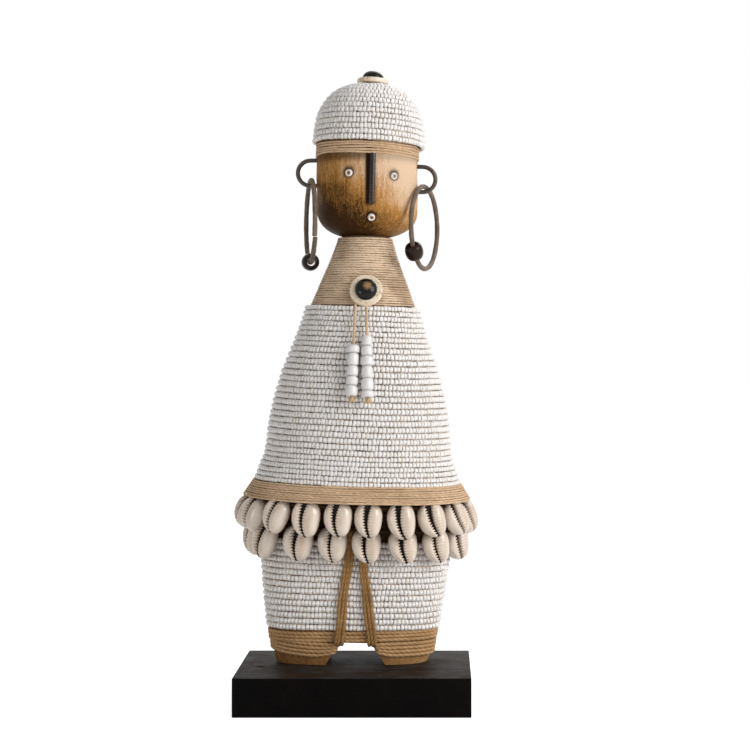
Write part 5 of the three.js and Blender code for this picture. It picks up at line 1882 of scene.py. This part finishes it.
@dataclass
class Ornaments:
    """The crown's disc and stud, and the medallion on the chest."""

    shop: Workshop
    disc_bulge: float = 0.35
    disc_rounding: float = 0.9
    crown_level: float = 42.8

    def build(self) -> None:
        """Makes both discs and both studs."""
        crown = CAP_PLACE @ Matrix.Translation((0.4, 0, self.crown_level))
        self._disc("crown", radius=8.7, thickness=2.8, place=crown)
        self._stud("crown", radius=5.9, height=4.0, seat=2.8, place=crown)
        medallion = (
            DOLL_PLACE
            @ Matrix.Translation((2.5, -23.0, JAW_LEVEL - 30.4))
            @ Matrix.Rotation(math.radians(90 - 18.5), 4, "X")
            @ Matrix.Translation((0, 0, 2.5))
        )
        self._disc("medallion", radius=8.95, thickness=3.0, place=medallion)
        self._stud("medallion", radius=6.05, height=3.8, seat=3.0, place=medallion)

    def _disc(self, label: str, radius: float, thickness: float, place: Matrix) -> None:
        """A bone disc with a rounded rim."""
        rounding, top = self.disc_rounding, thickness + self.disc_bulge
        low = self._rim(radius, rounding)
        high = self._rim(radius, thickness - rounding, upper=True)
        profile = [(0, 0), *low, *high, (radius * 0.5, top), (0, top)]
        mesh = lathe(f"{label}_bone", profile, 56)
        self.shop.piece(
            f"{label}_bone_disc", mesh, place, Finish.BONE, "bone_disc", replaces=(f"{label}_disc",)
        )

    def _rim(self, radius: float, height: float, upper: bool = False) -> list[tuple[float, float]]:
        """A quarter round of the disc's rim."""
        turn, r = np.linspace(0, math.pi / 2, 6), self.disc_rounding
        if upper:
            return [(radius - r + r * math.cos(t), height + r * math.sin(t)) for t in turn]
        return [(radius - r + r * math.sin(t), height - r * math.cos(t)) for t in turn]

    def _stud(self, label: str, radius: float, height: float, seat: float, place: Matrix) -> None:
        """A domed black stud."""
        low = seat + 0.2
        turn = np.linspace(0, math.pi / 2, 16)
        dome = [(radius * math.cos(t), low + 0.5 + height * math.sin(t)) for t in turn]
        mesh = lathe(f"{label}_dome", [(0, low), (radius - 0.4, low), (radius, low + 0.3), *dome], 56)
        # Painted reflection: a spot on the dome's crest, a little off centre, marked for the bronze colour;
        # only the medallion's finish uses it.
        sheen_and_rubbing = np.linalg.norm(coordinates(mesh)[:, :2] - np.array([0.8, 1.0]), axis=1)
        paint(mesh, "worn", np.clip((2.9 - sheen_and_rubbing) / 2.0, 0, 1))
        finish = Finish.WORN_STUD if label == "medallion" else Finish.STUD
        self.shop.piece(
            f"{label}_black_stud", mesh, place, finish, "gloss_black", replaces=(f"{label}_stud",)
        )


@dataclass
class ChestStrings:
    """The two laces under the medallion, with their white drum beads and knots.

    Attributes:
        shop: where the pieces are made.
        lace_radius: half a lace's thickness.
        bead_growth: what each bead's length gains on the length that is seen.
        knot_radius: half a knot's thickness.
        beads: radius and seen length of each bead, from the top.
    """

    shop: Workshop
    lace_radius: float = 0.75
    bead_growth: float = 0.15
    knot_radius: float = 1.75
    beads: dict[Side, tuple[tuple[float, float], ...]] = field(default_factory=lambda: {
        Side.LEFT: ((3.45, 4.2), (3.25, 6.6), (3.2, 5.4), (3.25, 4.7), (3.35, 5.6)),
        Side.RIGHT: ((2.85, 5.4), (3.2, 5.2), (3.5, 5.2), (3.1, 6.4), (3.4, 6.4), (3.5, 3.6)),
    })

    def build(self) -> None:
        """Makes both strings."""
        joints = {joint["name"]: joint for joint in frame["joints"]}
        for side in Side:
            string = f"string_{side.label}"
            self._string(side, joints[f"{string}_lift"], joints[f"{string}_bead_slide"])

    def _string(self, side: Side, lift: dict, slide: dict) -> None:
        """One lace with its beads and knot, along the line that the joints give."""
        label = side.label
        top = Vector(lift["pos_m"])
        up = Vector(slide["axis"]).normalized()
        low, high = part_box(f"string_{label}")
        length = (high.z - low.z) / up.z
        body, bead_body = side.body("STRING"), side.body("STRING_BEADS")
        frame_at = Matrix.Translation(top) @ Vector((0, 0, 1)).rotation_difference(up).to_matrix().to_4x4()
        to_mm = Matrix.Scale(1 / MM, 4)
        place = to_mm @ frame_at @ TO_METRES
        last = 0.0
        for number, (radius, seen_length) in enumerate(self.beads[side], start=1):
            node = f"string_bead_{label}_{number}"
            low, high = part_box(node)
            middle = (low + high) / 2
            along = (top - middle).dot(up) / MM
            bead_length = seen_length + self.bead_growth
            bead = self._bead(radius, bead_length)
            made = self.shop.piece(
                f"drum_bead_{label}_{number}", bead, place @ Matrix.Translation((0, 0, -along)),
                Finish.DRUM_BEAD, "white_bead", bead_body, replaces=(node,),
            )
            last = along + bead_length / 2
        knot = self._knot(self.knot_radius)
        self.shop.piece(
            f"string_knot_{label}", knot, place @ Matrix.Translation((0.4, 0, -last - 1.7)),
            Finish.LACE, "jute", body,
        )
        span = length / MM - 0.6
        count = 24
        share = np.linspace(0, 1, count)
        path = np.stack([np.zeros(count), np.zeros(count), -share * span], axis=1)
        outward = np.tile([0.0, -1.0, 0.0], (count, 1))
        lace = Rope(self.lace_radius, 10).lay(f"chest_lace_{label}", path, outward)
        piece = self.shop.piece(
            f"chest_lace_{label}", lace, place, Finish.LACE, "jute", body,
            replaces=(f"string_{label}",),
        )

    @staticmethod
    def _bead(radius: float, length: float) -> bpy.types.Mesh:
        """A drum bead with rounded shoulders and a hole."""
        half, hole = length / 2, 0.95
        turn = np.linspace(-math.pi / 2, math.pi / 2, 13)
        rise = [math.copysign(abs(math.sin(t)) ** 0.8, t) for t in turn]
        flank = [(hole + (radius - hole) * abs(math.cos(t)) ** 0.42, half * z) for t, z in zip(turn, rise)]
        return lathe("drum_bead", [*flank, (hole, -half)], 28)

    @staticmethod
    def _knot(radius: float) -> bpy.types.Mesh:
        """An overhand knot, drawn tight."""
        turn = np.linspace(0, FULL_TURN, 73)[:-1]
        path = np.stack([
            radius * 0.42 * (np.sin(turn) + 2 * np.sin(2 * turn)) * 0.62,
            radius * 0.42 * (np.cos(turn) - 2 * np.cos(2 * turn)) * 0.62,
            radius * 0.5 * -np.sin(3 * turn),
        ], axis=1)
        outward = unit(path + np.array([0, 0, 0.01]))
        return Rope(0.62, 8).lay("knot", path, outward, closed=True)


# The plinth and its screws


@dataclass
class Plinth:
    """The black block, its edges eased, with two screw pockets under it."""

    shop: Workshop
    width: float = 126.2
    depth: float = 77.3
    height: float = 20.8
    screw_spread: float = 29.0
    shank_hole: float = 2.3
    head_hole: float = 4.8
    head_depth: float = 7.0
    knot_at: tuple[float, float] = (-51.1, -7.5)

    def build(self) -> None:
        """Makes the block and dresses the screws."""
        bm = bmesh.new()
        bmesh.ops.create_cube(bm, size=1.0)
        bmesh.ops.scale(bm, vec=(self.width, self.depth, self.height), verts=bm.verts)
        bmesh.ops.translate(bm, vec=(0, 0, self.height / 2), verts=bm.verts)
        self._ease(bm, [e for e in bm.edges if all(v.co.z < 0.1 for v in e.verts)], 0.5)
        self._ease(bm, [e for e in bm.edges if e.calc_face_angle(0) > 1.2], 0.6)
        bmesh.ops.recalc_face_normals(bm, faces=bm.faces)
        block = as_mesh(bm, "plinth_block")
        centre = SOLES.x + 0.8
        cutters = []
        for x in (centre - self.screw_spread, centre + self.screw_spread):
            for radius, top in ((self.shank_hole, self.height + 1), (self.head_hole, self.head_depth)):
                pocket = cylinder(radius, -1, top)
                pocket.transform(Matrix.Translation((x, SOLES.y, 0)))
                cutters.append(pocket)
        knot = laid_grid("knot_dent", 24, 12, self._dent)
        knot.transform(Matrix.Translation((*self.knot_at, self.height)))
        block = cut(block, [*cutters, knot])
        heights = coordinates(block)[:, 2]
        # Marks the top face for the painted sheen and for the dust.
        paint(block, "upper", (heights > self.height - 0.3).astype(float))
        self.shop.piece(
            "plinth_black_block", block, Matrix.Identity(4), Finish.PLINTH, "black_wood",
            replaces=("plinth",), crease=30,
        )
        for side in Side:
            screw = frame["nodes"][f"screw_{side.label}"]
            screw.data.materials.clear()
            screw.data.materials.append(self.shop.materials[Finish.STEEL])

    @staticmethod
    def _ease(bm: bmesh.types.BMesh, edges: Sequence[bmesh.types.BMEdge], offset: float) -> None:
        """Rounds edges over."""
        bmesh.ops.bevel(
            bm, geom=edges, offset=offset, offset_type="OFFSET", segments=3, profile=0.5, affect="EDGES",
            material=-1,
        )

    @staticmethod
    def _dent(u: Points, v: Points) -> Points:
        """A flat lens that presses a knot's dent into the top."""
        turn, rise = u * FULL_TURN, (v - 0.5) * math.pi
        return np.stack([
            2.6 * np.cos(turn) * np.cos(rise), 1.7 * np.sin(turn) * np.cos(rise), 0.45 * np.sin(rise)
        ], axis=1)


# The studio


@dataclass
class Studio:
    """The camera at the photograph's place, soft lamps and a pale floor."""

    focal: float = 1584.0
    image: float = 750.0
    sensor: float = 36.0
    eye: tuple[float, float, float] = (46.5, -871.2, 196.1)
    axis_px: tuple[float, float] = (440.0, 345.0)
    room_light: float = 0.25
    floor_glow: float = 0.78

    def camera(self) -> None:
        """Sets the camera, level and square on."""
        data = bpy.data.cameras.new("camera")
        data.sensor_width = self.sensor
        data.lens = self.focal / self.image * self.sensor
        data.shift_x = (self.image / 2 - self.axis_px[0]) / self.image
        data.shift_y = (self.axis_px[1] - self.image / 2) / self.image
        camera = bpy.data.objects.new("camera", data)
        camera.location = Vector(self.eye) * MM
        camera.rotation_euler = (math.pi / 2, 0, 0)
        bpy.context.scene.collection.objects.link(camera)
        bpy.context.scene.camera = camera

    def light(self) -> None:
        """Soft light, stronger from the right, and a pale world."""
        self._lamp("key_right", (0.98, -0.66, 0.62), size=0.8, power=12.4)
        self._lamp("front_left", (-0.9, -0.9, 0.14), size=0.35, power=2.2)
        self._lamp("top_back", (0.3, 0.6, 1.0), size=0.8, power=4.0)
        world = bpy.data.worlds.new("pale_room")
        bpy.context.scene.world = world
        world.use_nodes = True
        board = Board(world.node_tree)
        board.nodes.clear()
        room = board.node("ShaderNodeBackground", Color=(1, 0.99, 0.98, 1), Strength=self.room_light)
        backdrop = board.node("ShaderNodeBackground", Color=(1, 1, 1, 1), Strength=1.0)
        mix = board.node("ShaderNodeMixShader")
        out = board.node("ShaderNodeOutputWorld")
        board.feed(mix.inputs["Fac"], board.seen())
        board.feed(mix.inputs[1], room.outputs["Background"])
        board.feed(mix.inputs[2], backdrop.outputs["Background"])
        board.feed(out.inputs["Surface"], mix.outputs["Shader"])

    @staticmethod
    def _lamp(name: str, place: tuple[float, float, float], size: float, power: float) -> None:
        """A square soft lamp that looks at the doll's chest."""
        data = bpy.data.lights.new(name, "AREA")
        data.shape = "SQUARE"
        data.size = size
        data.energy = power
        lamp = bpy.data.objects.new(name, data)
        lamp.location = place
        towards = Vector((0, 0.01, 0.19)) - Vector(place)
        lamp.rotation_euler = towards.to_track_quat("-Z", "Y").to_euler()
        bpy.context.scene.collection.objects.link(lamp)

    def floor(self) -> None:
        """A plain pale floor that keeps a soft shadow."""
        bm = bmesh.new()
        bmesh.ops.create_grid(bm, x_segments=1, y_segments=1, size=6)
        mesh = as_mesh(bm, "floor")
        palette = Palette("pale_floor")
        palette.plain(Base_Color=(0.86, 0.86, 0.86, 1), Roughness=0.9)
        glow = palette.node("ShaderNodeEmission", Color=(1, 1, 1, 1))
        palette.feed(glow.inputs["Strength"], palette.sums("MULTIPLY", palette.seen(), self.floor_glow))
        both = palette.node("ShaderNodeAddShader")
        palette.feed(both.inputs[0], palette.shader.outputs["BSDF"])
        palette.feed(both.inputs[1], glow.outputs["Emission"])
        palette.feed(palette.nodes["Material Output"].inputs["Surface"], both.outputs["Shader"])
        mesh.materials.append(palette.material)
        floor = bpy.data.objects.new("floor", mesh)
        bpy.context.scene.collection.objects.link(floor)


def main() -> None:
    """Builds the doll in order, from the camera to the plinth."""
    logging.basicConfig(level=logging.INFO, format="%(name)s %(message)s")
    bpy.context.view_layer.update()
    scene = bpy.context.scene
    scene.view_settings.view_transform = "Standard"
    studio = Studio()
    studio.camera()
    shop = Workshop()
    ChestStrings(shop).build()
    wood = CarvedWood(shop)
    wood.build()
    Face(shop, wood).build()
    Hoops(shop, wood).build()
    Ornaments(shop).build()
    TwineWork(shop, wood).build()
    CowrieRows(shop, wood).build()
    Beadwork(shop, wood).build()
    Plinth(shop).build()
    studio.light()
    studio.floor()


if __name__ == "__main__":
    main()
